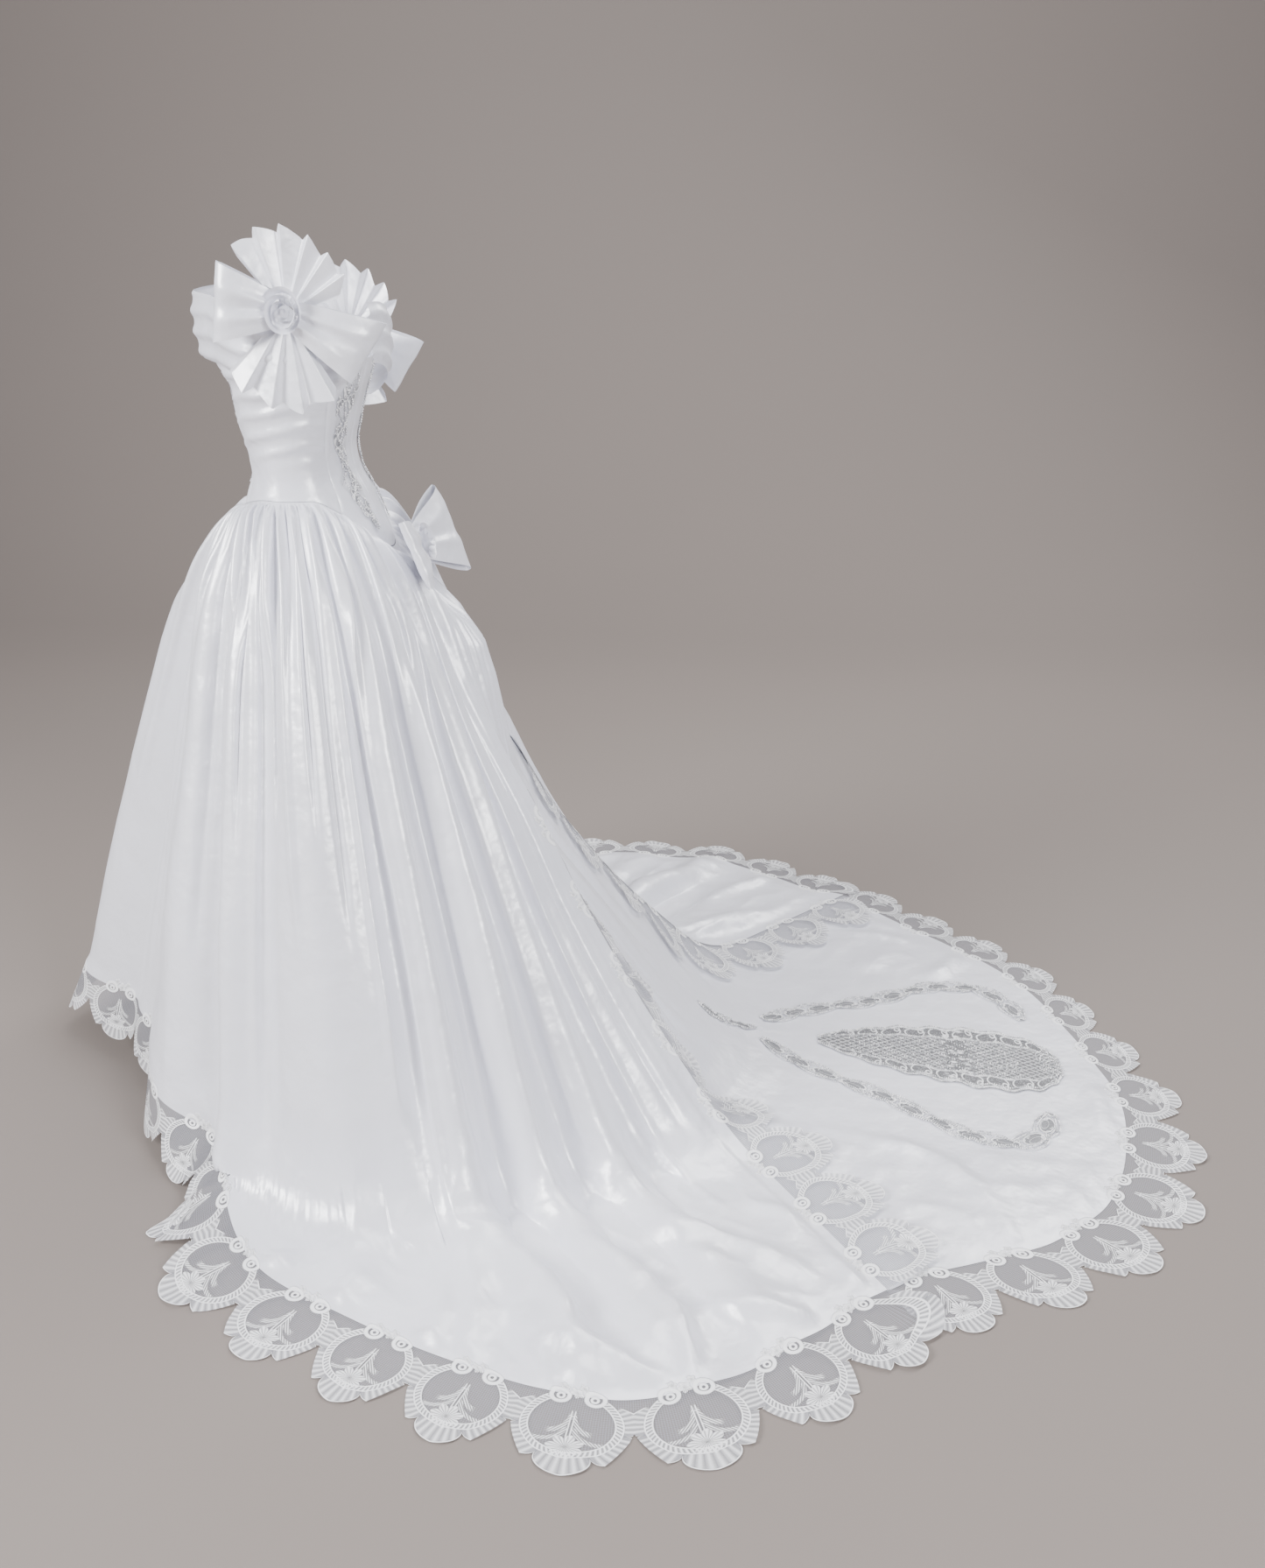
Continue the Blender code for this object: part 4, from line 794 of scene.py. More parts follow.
def beading_place(points):
    """1 where the flat beading rests on the train, fading to 0 round it."""
    x = points[..., 0] - TRAIN_CENTRE[0] - TRAIN_SWEEP * (points[..., 1] - 1.05)
    y = points[..., 1]
    inside_x = 1 - ease((np.abs(x) - 0.29) / 0.05)
    inside_y = ease((y - 0.60) / 0.06) * (1 - ease((y - 1.36) / 0.04))
    return inside_x * inside_y


def cell_lengths(points):
    """Distances along the rows and down the columns of a grid."""
    across = np.linalg.norm(np.diff(points, axis=1), axis=-1)
    down = np.linalg.norm(np.diff(points, axis=0), axis=-1)
    return across, down


def hem_map(points, turns_of_motif):
    """UV near a hem: motif count along it, and metres out from it, negative on the cloth."""
    across, down = cell_lengths(points)
    from_hem = np.concatenate([np.cumsum(down[::-1], axis=0)[::-1], np.zeros((1, points.shape[1]))])
    return np.stack([np.broadcast_to(turns_of_motif, from_hem.shape), -from_hem], axis=-1)


def cloth_map(points):
    """UV in metres: the run down each column against its place at the hem."""
    across, down = cell_lengths(points)
    width = np.concatenate([[0.0], np.cumsum(across.max(axis=0))])
    run = np.concatenate([np.zeros((1, points.shape[1])), np.cumsum(down, axis=0)])
    return np.stack([np.broadcast_to(width, run.shape), run], axis=-1)


def motif_count(line):
    """Number of whole lace motifs that fit a hem."""
    return max(1, round(arc_lengths(line)[-1] / SCALLOP))


def scallop_depth(share_of_hem, count):
    wave = np.abs(np.sin(math.pi * count * share_of_hem)) ** 0.8
    return SCALLOP_VALLEY + (SCALLOP_TIP - SCALLOP_VALLEY) * wave


def shell(name, points, maps, finish, outward, kept=None):
    """A thin cloth surface through a grid of points, with its named UV maps."""
    rows, columns = points.shape[:2]
    shape = bmesh.new()
    bmesh.ops.create_grid(shape, x_segments=columns - 1, y_segments=rows - 1, size=1.0)
    if kept is not None:
        gone = []
        for face in shape.faces:
            middle = face.calc_center_median()
            place = (
                int((middle.y + 1) / 2 * (rows - 1)),
                int((middle.x + 1) / 2 * (columns - 1)),
            )
            if not kept[place]:
                gone.append(face)
        bmesh.ops.delete(shape, geom=gone, context="FACES")
    mesh = bpy.data.meshes.new(name)
    shape.to_mesh(mesh)
    shape.free()
    flat = np.empty(len(mesh.vertices) * 3)
    mesh.vertices.foreach_get("co", flat)
    flat = flat.reshape(-1, 3)
    column = np.rint((flat[:, 0] + 1) / 2 * (columns - 1)).astype(int)
    row = np.rint((flat[:, 1] + 1) / 2 * (rows - 1)).astype(int)
    set_down = points - (0.0, 0.0, HOLD_HEIGHT)
    mesh.vertices.foreach_set("co", set_down[row, column].ravel())
    corner = np.empty(len(mesh.loops), int)
    mesh.loops.foreach_get("vertex_index", corner)
    for map_name, values in maps.items():
        layer = mesh.uv_layers.new(name=map_name)
        layer.data.foreach_set("uv", values[row[corner], column[corner]].ravel())
    facing = np.cross(points[:-1, 1:] - points[:-1, :-1], points[1:, :-1] - points[:-1, :-1])
    if (facing * np.broadcast_to(outward, points.shape)[:-1, :-1]).sum() < 0:
        mesh.flip_normals()
    mesh.shade_smooth()
    mesh.update()
    mesh.materials.append(finish)
    piece = bpy.data.objects.new(name, mesh)
    bpy.context.scene.collection.objects.link(piece)
    return piece


def cut_of(points):
    """Width, length and area of a grid of cloth laid flat."""
    across, down = cell_lengths(points)
    width = float(across.sum(axis=1).max())
    length = float(down.sum(axis=0).max())
    sides = np.cross(points[:-1, 1:] - points[:-1, :-1], points[1:, :-1] - points[:-1, :-1])
    area = float(np.linalg.norm(sides, axis=-1).sum())
    return (round(width, 3), round(length, 3)), min(area, width * length)


def stand_for(piece, nodes, points):
    """Parents a finished piece of cloth to the root empty and hides the solids it stands for."""
    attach(piece, "root")
    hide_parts(*nodes)
    flat, area = cut_of(points)


class Signal:
    """One value in a material's nodes; sums and products on it add Math nodes."""

    def __init__(self, nodes, socket):
        self.nodes = nodes
        self.socket = socket

    def math(self, operation, *others):
        inputs = {index: value for index, value in enumerate((self, *others))}
        return self.nodes.value("ShaderNodeMath", {"operation": operation}, inputs)

    def __add__(self, other):
        return self.math("ADD", other)

    __radd__ = __add__

    def __mul__(self, other):
        return self.math("MULTIPLY", other)

    __rmul__ = __mul__

    def __sub__(self, other):
        return self.math("SUBTRACT", other)

    def __rsub__(self, other):
        return (self * -1.0) + other

    def __truediv__(self, other):
        return self.math("DIVIDE", other)

    def __pow__(self, other):
        return self.math("POWER", other)

    def __abs__(self):
        return self.math("ABSOLUTE")

    def __neg__(self):
        return self * -1.0

    def sin(self):
        return self.math("SINE")

    def root(self):
        return self.math("SQRT")

    def part(self):
        return self.math("FRACT")

    def least(self, other):
        return self.math("MINIMUM", other)

    def most(self, other):
        return self.math("MAXIMUM", other)

    def below(self, edge, soft):
        """1 well under edge, 0 well over it, with a soft step."""
        inputs = {"Value": self, "From Min": edge - soft, "From Max": edge + soft, "To Min": 1.0, "To Max": 0.0}
        return self.nodes.value("ShaderNodeMapRange", {"clamp": True}, inputs)

    def above(self, edge, soft):
        return 1.0 - self.below(edge, soft)


class Nodes:
    """The node tree of one material."""

    def __init__(self, name):
        self.material = bpy.data.materials.new(name)
        self.material.use_nodes = True
        self.tree = self.material.node_tree
        self.shader = self.tree.nodes["Principled BSDF"]

    def add(self, kind, settings=None, inputs=None):
        node = self.tree.nodes.new(kind)
        for key, value in (settings or {}).items():
            setattr(node, key, value)
        for key, value in (inputs or {}).items():
            self.feed(node.inputs[key], value)
        return node

    def feed(self, socket, value):
        source = value.socket if isinstance(value, Signal) else value
        if isinstance(source, bpy.types.NodeSocket):
            self.tree.links.new(source, socket)
        else:
            socket.default_value = source

    def value(self, kind, settings=None, inputs=None, output=0):
        return Signal(self, self.add(kind, settings, inputs).outputs[output])

    def uv(self, name):
        """The two values of a UV map."""
        source = self.add("ShaderNodeUVMap", {"uv_map": name})
        split = self.add("ShaderNodeSeparateXYZ", inputs={0: source.outputs[0]})
        return Signal(self, split.outputs[0]), Signal(self, split.outputs[1])

    def point(self, x, y, z=0.0):
        return self.value("ShaderNodeCombineXYZ", inputs={0: x, 1: y, 2: z})

    def object_point(self):
        return Signal(self, self.add("ShaderNodeTexCoord").outputs["Object"])

    def noise(self, place, scale, detail=2.0):
        inputs = {"Vector": place, "Scale": scale, "Detail": detail}
        return self.value("ShaderNodeTexNoise", inputs=inputs)

    def cells(self, place, scale, feature="F1"):
        inputs = {"Vector": place, "Scale": scale}
        return self.value("ShaderNodeTexVoronoi", {"feature": feature}, inputs)

    def blend(self, share, first, second):
        """A colour between two others."""
        node = self.add("ShaderNodeMix", {"data_type": "RGBA"})
        self.feed(node.inputs[0], share)
        self.feed(node.inputs[6], first)
        self.feed(node.inputs[7], second)
        return Signal(self, node.outputs[2])

    def bump(self, height, strength, distance):
        inputs = {"Height": height, "Strength": strength, "Distance": distance}
        return self.value("ShaderNodeBump", inputs=inputs)

    def finish(self, **inputs):
        """Feeds the shader's sockets, named with _ for a space."""
        for key, value in inputs.items():
            self.feed(self.shader.inputs[key.replace("_", " ")], value)
        return self.material


def colour(values):
    return (*values, 1.0)


def ring(a, b, centre, radii, width):
    """1 on an oval line."""
    x = (a - centre[0]) / radii[0]
    y = (b - centre[1]) / radii[1]
    away = abs((x * x + y * y).root() - 1.0)
    return away.below(width / radii[0], 0.25 * width / radii[0])


def blossom(a, b, centre, radius, petals):
    """1 inside a small flower of round petals."""
    x = a - centre[0]
    y = b - centre[1]
    turn = y.math("ARCTAN2", x)
    reach = radius * (0.66 + 0.34 * abs((turn * (petals / 2.0)).sin()))
    distance = (x * x + y * y).root()
    inside = (distance - reach).below(0.0, 0.0008)
    vein = 0.55 + 0.45 * abs((turn * (petals * 1.5)).sin())
    return inside, inside * vein


def lace_motif(nodes, u, v):
    """One lace scallop repeated along u; v is metres out from the satin's edge.

    Gives where thread lies and where the piece as a whole is.
    """
    whole = (u.part() - 0.5) * SCALLOP
    a = abs(whole)
    x = a / 0.062
    y = (v - 0.052) / 0.060
    oval = (x * x + y * y).root()
    turn = x.math("ARCTAN2", y)
    open_top = turn.below(2.45, 0.04)
    band = abs(oval - 0.93).below(0.085, 0.012) * open_top
    rims = abs(abs(oval - 0.93) - 0.074).below(0.022, 0.010) * open_top
    hatch = 0.20 + 0.80 * abs((turn * 30.0 + oval * 22.0).sin())
    band_thread = (band * hatch).most(rims)
    curl = ring(a, v, (0.0245, 0.0035), (0.0125, 0.0115), 0.0036)
    curl_heart = ring(a, v, (0.0235, 0.0045), (0.0045, 0.0045), 0.0022)
    flower, flower_thread = blossom(whole, v, (0.0, 0.094), 0.0225, 7)
    barbs = 0.25 + 0.75 * abs((a * 760.0 - v * 620.0).sin())
    low_frond = ring(a, v, (0.034, 0.052), (0.030, 0.033), 0.0034) * v.above(0.058, 0.003) * a.below(0.040, 0.003)
    high_frond = ring(a, v, (0.026, 0.030), (0.024, 0.038), 0.0030) * v.above(0.034, 0.003) * a.below(0.026, 0.003)
    stem = abs(a - 0.0022).below(0.0012, 0.0006) * v.above(0.028, 0.002) * v.below(0.078, 0.002)
    inside = oval.below(0.86, 0.01)
    inner_thread = ((low_frond.most(high_frond)) * barbs).most(stem) * inside
    head, head_thread = blossom(whole, v, (0.0, -0.004), 0.0100, 5)
    bud, bud_thread = blossom(a, v, (0.0140, -0.0125), 0.0072, 5)
    lobes = abs((turn * 3.5 + 1.5708).sin()) ** 0.6
    fringe_edge = 1.10 + 0.42 * lobes * turn.below(1.9, 0.35)
    fringe = oval.above(1.0, 0.01) * (oval - fringe_edge).below(0.0, 0.010) * turn.below(2.15, 0.05)
    ribs = (0.15 + 0.70 * abs((turn * 24.5).sin())) * lobes.above(0.35, 0.20)
    fringe_rim = abs(oval - fringe_edge).below(0.045, 0.012) * fringe
    fringe_thread = (fringe * ribs).most(fringe_rim)
    thread = band_thread.most(fringe_thread).most(inner_thread).most(flower_thread)
    thread = thread.most(curl).most(curl_heart).most(head_thread).most(bud_thread)
    solid = band.most(fringe).most(flower).most(curl).most(head).most(bud)
    between = v.below(0.058, 0.002)
    piece = oval.below(1.01, 0.004).most(fringe).most(between)
    return thread, solid, piece


def fabric_noise(nodes, place):
    """Fine weave and soft rumples of satin, as a height in millimetres."""
    weave = nodes.noise(place, 900.0, 1.0) * 0.10
    rumple = nodes.noise(place, 14.0, 3.0) * 6.5
    pucker = nodes.noise(place, 60.0, 2.0) * 0.55
    return weave + rumple + pucker


def satin_material(name, settings, lace_maps=()):
    """Bright satin; lace_maps name the UV maps along which lace lies over it."""
    nodes = Nodes(name)
    place = nodes.object_point()
    height = fabric_noise(nodes, place)
    tone = nodes.noise(place, 3.0, 2.0)
    shade = nodes.blend(tone, colour(settings.satin_colour), colour(settings.satin_shade))
    gloss = 0.28 + 0.12 * nodes.noise(place, 40.0, 2.0)
    for map_name in lace_maps:
        u, v = nodes.uv(map_name)
        thread, solid, piece = lace_motif(nodes, u, v)
        on_cloth = v.below(0.0005, 0.0004)
        thread = thread * on_cloth
        shade = nodes.blend(thread, shade, colour(settings.lace_colour))
        gloss = gloss + 0.35 * thread
        height = height + 1.6 * thread
    normal = nodes.bump(height, 0.85, 0.001)
    nodes.shader.inputs["IOR"].default_value = 1.75
    nodes.shader.inputs["Specular IOR Level"].default_value = 1.0
    return nodes.finish(Base_Color=shade, Roughness=gloss, Normal=normal)


def lace_material(name, settings):
    """Embroidered scallops on sheer net."""
    nodes = Nodes(name)
    u, v = nodes.uv("hem")
    thread, solid, piece = lace_motif(nodes, u, v)
    across = (u * (SCALLOP / 0.0032)).part() - 0.5
    along_net = (v * (1.0 / 0.0032)).part() - 0.5
    holes = (across * across + along_net * along_net).root()
    net = holes.above(0.40, 0.10)
    stitches = nodes.noise(nodes.object_point(), 650.0, 1.0)
    sheer = 0.34 + 0.26 * net
    cover = (solid * (0.55 + 0.20 * stitches)).most(thread).most(sheer) * piece
    shade = nodes.blend(thread, colour(settings.net_colour), colour(settings.lace_colour))
    normal = nodes.bump(thread * 2.2 + stitches * 0.3, 1.0, 0.001)
    nodes.shader.inputs["Sheen Weight"].default_value = 0.15
    nodes.shader.inputs["Specular IOR Level"].default_value = 0.45
    return nodes.finish(Base_Color=shade, Roughness=0.52 - 0.14 * thread, Alpha=cover, Normal=normal)


def scroll_motif(u, v):
    """Cord curls and leaves in a chain along u, with the beaded hearts between them."""
    flip = (u * (0.5 / SCROLL_PITCH)).part().above(0.5, 0.004) * 2.0 - 1.0
    a = ((u / SCROLL_PITCH).part() - 0.5) * SCROLL_PITCH
    b = v * flip
    oval = ((a * a) / 0.024**2 + (b * b) / 0.0120**2).root()
    heart = oval.below(1.0, 0.06)
    cord = abs(oval - 1.0).below(0.10, 0.04)
    for centre, radii, width in (
        ((0.0215, 0.0095), (0.0070, 0.0066), 0.0014),
        ((0.0215, 0.0095), (0.0028, 0.0026), 0.0010),
        ((-0.0220, -0.0085), (0.0056, 0.0052), 0.0012),
        ((0.0, 0.0040), (0.0150, 0.0060), 0.0009),
    ):
        cord = cord.most(ring(a, b, centre, radii, width))
    leaf, leaf_thread = blossom(a, b, (-0.006, -0.0130), 0.0080, 5)
    bud, bud_thread = blossom(a, b, (0.008, 0.0145), 0.0060, 5)
    return cord.most(leaf_thread).most(bud_thread), heart


def trellis_motif(nodes, x, y, rim):
    """Pearl trellis inside a frame of cord curls, on the medallion's own axes."""
    trellis = None
    for way in (-1.0, 1.0):
        line = abs(((x + y * (0.70 * way)) * (1.0 / 0.0125)).part() - 0.5).below(0.10, 0.05)
        trellis = line if trellis is None else trellis.most(line)
    inner = rim.below(0.56, 0.03) * abs(y - 1.155).above(0.028, 0.006)
    a = ((y * (1.0 / 0.046)).part() - 0.5) * 0.046
    b = (rim - 0.74) * 0.055
    curls = ring(a, b, (0.0, 0.0), (0.0185, 0.0090), 0.0016)
    curls = curls.most(ring(a, b, (0.0125, 0.0050), (0.0050, 0.0046), 0.0012))
    centre = nodes.cells(nodes.point(x * 1.6, y), 46.0).below(0.30, 0.10) * abs(y - 1.155).below(0.028, 0.006)
    border = abs(rim - 0.94).below(0.035, 0.015).most(abs(rim - 0.60).below(0.025, 0.012))
    return (trellis * inner * 0.85).most(curls * rim.above(0.60, 0.02)).most(border).most(centre), inner


def beaded_material(name, settings, pattern):
    """Cord and small silver beads sewn closely on net, with painted shade between the beads; UV runs along and across
    in metres.
    """
    nodes = Nodes(name)
    u, v = nodes.uv("beads")
    edge, rim = nodes.uv("edge")
    place = nodes.point(u, v)
    bead = nodes.cells(place, 300.0).below(0.36, 0.10)
    if pattern == "scroll":
        cord, heart = scroll_motif(u, v)
        ragged = rim.below(0.98, 0.02)
        cover = cord.most(heart * (0.55 + 0.40 * bead)).most(0.30 * bead) * ragged
    elif pattern == "trellis":
        cord, heart = trellis_motif(nodes, u, v, rim)
        cover = cord.most(0.72 + 0.28 * bead) * rim.below(1.0, 0.02)
    else:
        vine = abs((v * 60.0 + 1.1 * (u * 62.0).sin()).sin()).below(0.22, 0.10)
        leaf = nodes.cells(place, 58.0)
        cord = vine.most(abs(leaf - 0.42).below(0.07, 0.03))
        ragged = (rim + 0.20 * (edge * 90.0).sin() + 0.5 * (nodes.noise(place, 42.0, 2.0) - 0.5)).below(0.84, 0.03)
        cover = cord.most(leaf.below(0.36, 0.05) * (0.35 + 0.65 * bead)).most(0.12) * ragged
    # Painted shade: the near-black colour between the silver beads stands in for the shadow among closely sewn beads;
    # on the bodice applique it also lies as a faint veil over the whole piece.
    shade = nodes.blend(bead, colour(settings.painted_shade_between_beads), colour(settings.silver_colour))
    shade = nodes.blend(cord, shade, colour(settings.lace_colour))
    normal = nodes.bump(bead * 1.2 + cord * 2.4, 1.0, 0.001)
    silver = bead * (1.0 - cord)
    return nodes.finish(
        Base_Color=shade, Roughness=0.45 - 0.22 * silver, Metallic=0.5 * silver, Alpha=cover, Normal=normal
    )


def bead_material(name, settings):
    """Pearl and crystal beads, a little uneven in tone."""
    nodes = Nodes(name)
    tone = nodes.noise(nodes.object_point(), 120.0, 1.0).above(0.5, 0.12)
    shade = nodes.blend(tone, colour(settings.pearl_colour), colour(settings.silver_colour))
    nodes.shader.inputs["Coat Roughness"].default_value = 0.05
    return nodes.finish(Base_Color=shade, Roughness=0.30 - 0.14 * tone, Metallic=0.45 * tone, Coat_Weight=0.6 + 0.0 * tone)


def floor_material(settings):
    nodes = Nodes("studio_floor")
    tone = nodes.noise(nodes.object_point(), 1.3, 2.0)
    lighter = tuple(min(1.0, part * 1.03) for part in settings.floor_colour)
    shade = nodes.blend(tone, colour(settings.floor_colour), colour(lighter))
    return nodes.finish(Base_Color=shade, Roughness=0.72 + 0.06 * tone)


def sampled(grid, rows, columns):
    """Points of a grid at fractional rows and columns."""
    i = np.clip(np.floor(rows).astype(int), 0, grid.shape[0] - 2)
    j = np.clip(np.floor(columns).astype(int), 0, grid.shape[1] - 2)
    u, v = (rows - i)[..., None], (columns - j)[..., None]
    top = grid[i, j] * (1 - v) + grid[i, j + 1] * v
    low = grid[i + 1, j] * (1 - v) + grid[i + 1, j + 1] * v
    return top * (1 - u) + low * u


def panels(waists):
    """Name, first column and last column of the three skirt panels."""
    seams = [int(np.argmin(np.abs(waists - turn))) for turn in (FAR_FRONT_SEAM_DEG, FRONT_SEAM_DEG)]
    cuts = [0, *seams, len(waists) - 1]
    return list(zip(("right", "front", "left"), cuts, cuts[1:]))


def hem_share(points, first, last):
    """How many lace motifs lie before each column of a panel's hem."""
    line = points[-1, first : last + 1]
    lengths = arc_lengths(line)
    return motif_count(line) * lengths / lengths[-1]


def free_edge_map(points, far_side, free):
    """UV near a side panel's free rear edge: motifs along it and metres out from it."""
    column = 0 if far_side else points.shape[1] - 1
    line = points[free + 1 :, column]
    lengths = np.concatenate([np.zeros(free + 1), arc_lengths(line)])
    count = motif_count(line) * lengths / lengths[-1]
    inwards = points if far_side else points[:, ::-1]
    away = np.concatenate([np.zeros((len(points), 1)), np.cumsum(cell_lengths(inwards)[0], axis=1)], axis=1)
    away[: free + 1] = 1.0
    away = away if far_side else away[:, ::-1]
    return np.stack([np.broadcast_to(count[:, None], away.shape), -away], axis=-1)


def build_skirt_panels(settings):
    points, normals, middle, middle_normals, under, waists, fractions, free = skirt_grids(settings.crease_amount)
    plain = satin_material("satin_skirt", settings, ("hem",))
    edged = satin_material("satin_side", settings, ("hem", "rear_edge"))
    for side, first, last in panels(waists):
        part = points[:, first : last + 1]
        maps = {"cloth": cloth_map(part), "hem": hem_map(part, hem_share(points, first, last))}
        finish = plain
        name = "skirt_front" if side == "front" else "skirt_side_" + side
        if side != "front":
            maps["rear_edge"] = free_edge_map(part, side == "right", free)
            finish = edged
        piece = shell("satin_" + name, part, maps, finish, normals[:, first : last + 1])
        stand_for(piece, [name], part)
    return points


def build_train(settings):
    points, normals, middle, middle_normals, under, waists, fractions, free = skirt_grids(settings.crease_amount)
    steps = UNDERLAP_COLUMNS
    whole = np.concatenate([under[:, steps:0:-1], middle, under[:, -2 : -steps - 2 : -1]], axis=1)
    whole[..., 2] = np.maximum(whole[..., 2], SATIN)
    kept = np.ones((whole.shape[0] - 1, whole.shape[1] - 1), bool)
    for part in (slice(0, steps), slice(-steps, None)):
        kept[: free + 1, part] = False
        kept[-1, part] = False
    rim = middle[-1]
    lengths = arc_lengths(rim)
    share = motif_count(rim) * lengths / lengths[-1]
    padded = np.concatenate([np.zeros(steps), share, np.full(steps, share[-1])])
    maps = {"cloth": cloth_map(whole), "hem": hem_map(whole, padded)}
    finish = satin_material("satin_train", settings, ("hem",))
    piece = shell("satin_back_train", whole, maps, finish, TRAIN_OUTWARD, kept)
    stand_for(piece, ["skirt_back_train"], middle)


def edging_grid(line, normals, away, slope, lowest, share, fans=(0.0, 0.0)):
    """Lace carried on from a satin edge: its points and its UV."""
    lengths = arc_lengths(line)
    length = lengths[-1]
    distances = np.linspace(0, length, max(24, round(length / LACE_STEP)))
    count = motif_count(line)
    depths = scallop_depth(distances / length, count)
    start = along(line, line, distances)
    out = unit(along(line, away, distances))
    out = turned(out, fans[0] * (1 - ease(distances / FAN_REACH)))
    out = turned(out, fans[1] * (1 - ease((length - distances) / FAN_REACH)))
    floor = np.interp(distances, lengths, lowest)
    fall = np.interp(distances, lengths, slope)
    full = depths.copy()
    depths = depths * np.interp(distances, lengths, share)
    depths = depths * (1 - HANGING_LESS * ease((fall - 0.4) / 0.4))
    room = np.maximum(start[:, 2] - floor, 0.0) / (SCALLOP_TIP * (1 - HANGING_LESS))
    fall = np.clip(fall, 0.0, room)[:, None]
    reach = out * np.sqrt(1 - fall**2) - np.array([0, 0, 1.0]) * fall
    shares = np.linspace(0, 1, LACE_LINES)[:, None, None]
    grid = start[None] + reach[None] * depths[None, :, None] * shares
    highest = floor + np.maximum(start[:, 2] - floor, 0) * (1 - 0.1 * shares[..., 0])
    motif = count * distances / length
    ripple = 0.0022 * np.sin(2 * math.pi * 2 * motif)[None] * shares[..., 0]
    ripple = ripple + 0.0030 * random_height(grid, 0.07, seed=6.6) * shares[..., 0]
    lift = floor[None] + np.abs(ripple)
    grid[..., 2] = np.maximum(np.minimum(grid[..., 2], np.maximum(highest, lift)), lift)
    grid[0] = start
    v = full[None, :] * shares[..., 0]
    uv = np.stack([np.broadcast_to(motif, v.shape), v], axis=-1)
    return grid, {"hem": uv}


def build_hem_lace(settings):
    points, normals, middle, middle_normals, under, waists, fractions, free = skirt_grids(settings.crease_amount)
    hem = points[-1]
    run = points[-1] - points[-8]
    run = unit(smoothed(run, 24))
    slope = np.clip(-run[:, 2], 0.0, 1.0)
    away = smooth_away(hem, (0.0, 0.0))
    near_rear = np.minimum(REAR_EDGE_DEG - waists, waists - FAR_REAR_EDGE_DEG)
    lowest = LACE + HEM_LACE_RISE * (1 - ease((near_rear - 8.0) / 16.0))
    share = skirt_value(waists, "lace_share")
    fans = ((-CORNER_FAN_DEG, 0.0), (0.0, 0.0), (0.0, CORNER_FAN_DEG))
    finish = lace_material("hem_lace", settings)
    for (side, first, last), fan in zip(panels(waists), fans):
        part = slice(first, last + 1)
        grid, maps = edging_grid(
            hem[part], normals[-1, part], away[part], slope[part], lowest[part], share[part], fan
        )
        outward = np.array([0.0, 0.0, 1.0]) + away[part].mean(axis=0)
        piece = shell("lace_scallops_" + side, grid, maps, finish, outward)
        stand_for(piece, ["lace_hem_" + side], grid)


def smooth_away(line, centre):
    """Level directions out from a finely divided line."""
    coarse = np.linspace(0, len(line) - 1, max(8, len(line) // PANEL_COLUMNS_EACH)).astype(int)
    directions = plan_away(line[coarse], centre)
    return unit(np.stack([np.interp(np.arange(len(line)), coarse, directions[:, k]) for k in range(3)], axis=-1))


def build_train_lace(settings):
    points, normals, middle, middle_normals, under, waists, fractions, free = skirt_grids(settings.crease_amount)
    rim = middle[-1]
    flat = np.zeros(len(rim))
    turns = rim_turns(len(rim))
    share = smooth_curve(turns, TRAIN_RIM["turn"], TRAIN_RIM["lace_share"])
    grid, maps = edging_grid(rim, middle_normals[-1], smooth_away(rim, TRAIN_CENTRE), flat, flat + LACE, share)
    piece = shell("lace_scallops_train", grid, maps, lace_material("train_lace", settings), (0, 0, 1))
    stand_for(piece, ["lace_train"], grid)


def build_edge_lace(settings):
    """Lace along the free rear edges of the side panels, lying over the train."""
    points, normals, middle, middle_normals, under, waists, fractions, free = skirt_grids(settings.crease_amount)
    finish = lace_material("edge_lace", settings)
    first_row = free + 1
    for side, far_side in (("left", False), ("right", True)):
        column = 0 if far_side else points.shape[1] - 1
        edge = points[first_row:, column]
        lengths = arc_lengths(edge)
        length = lengths[-1]
        distances = np.linspace(0, length, round(length / LACE_STEP))
        count = motif_count(edge)
        full = scallop_depth(distances / length, count)
        depths = full * (0.35 + 0.65 * ease(distances / SCALLOP))
        rows = np.interp(distances, lengths, np.arange(first_row, len(points)))
        steps = np.arange(TRAIN_HALF + 1)
        columns = steps if far_side else middle.shape[1] - 1 - steps
        span = sampled(middle, rows[:, None] + 0.0 * columns[None, :], columns[None, :] + 0.0 * rows[:, None])
        runs = np.concatenate([np.zeros((len(rows), 1)), np.cumsum(cell_lengths(span)[0], axis=1)], axis=1)
        depths = np.minimum(depths, 0.80 * runs[:, -1])
        shares = np.linspace(0, 1, LACE_LINES)
        grid = np.empty((LACE_LINES, len(rows), 3))
        for level, share in enumerate(shares):
            place = np.array([np.interp(share * depth, run, columns) for depth, run in zip(depths, runs)])
            face = unit(sampled(middle_normals, rows, place))
            rise = float(np.interp(share, (0.0, 0.5, 1.0), (0.2, 0.7, 1.0)))
            grid[level] = sampled(middle, rows, place) + face * (SATIN + LAYER_GAP + EDGE_LACE_RISE * rise)
        grid[0] = sampled(points, rows, np.full(len(rows), float(column)))
        v = full[None, :] * shares[:, None]
        uv = np.stack([np.broadcast_to(count * distances / length, v.shape), v], axis=-1)
        piece = shell("lace_scallops_edge_" + side, grid, {"hem": uv}, finish, TRAIN_OUTWARD)
        stand_for(piece, ["lace_edge_" + side], grid)


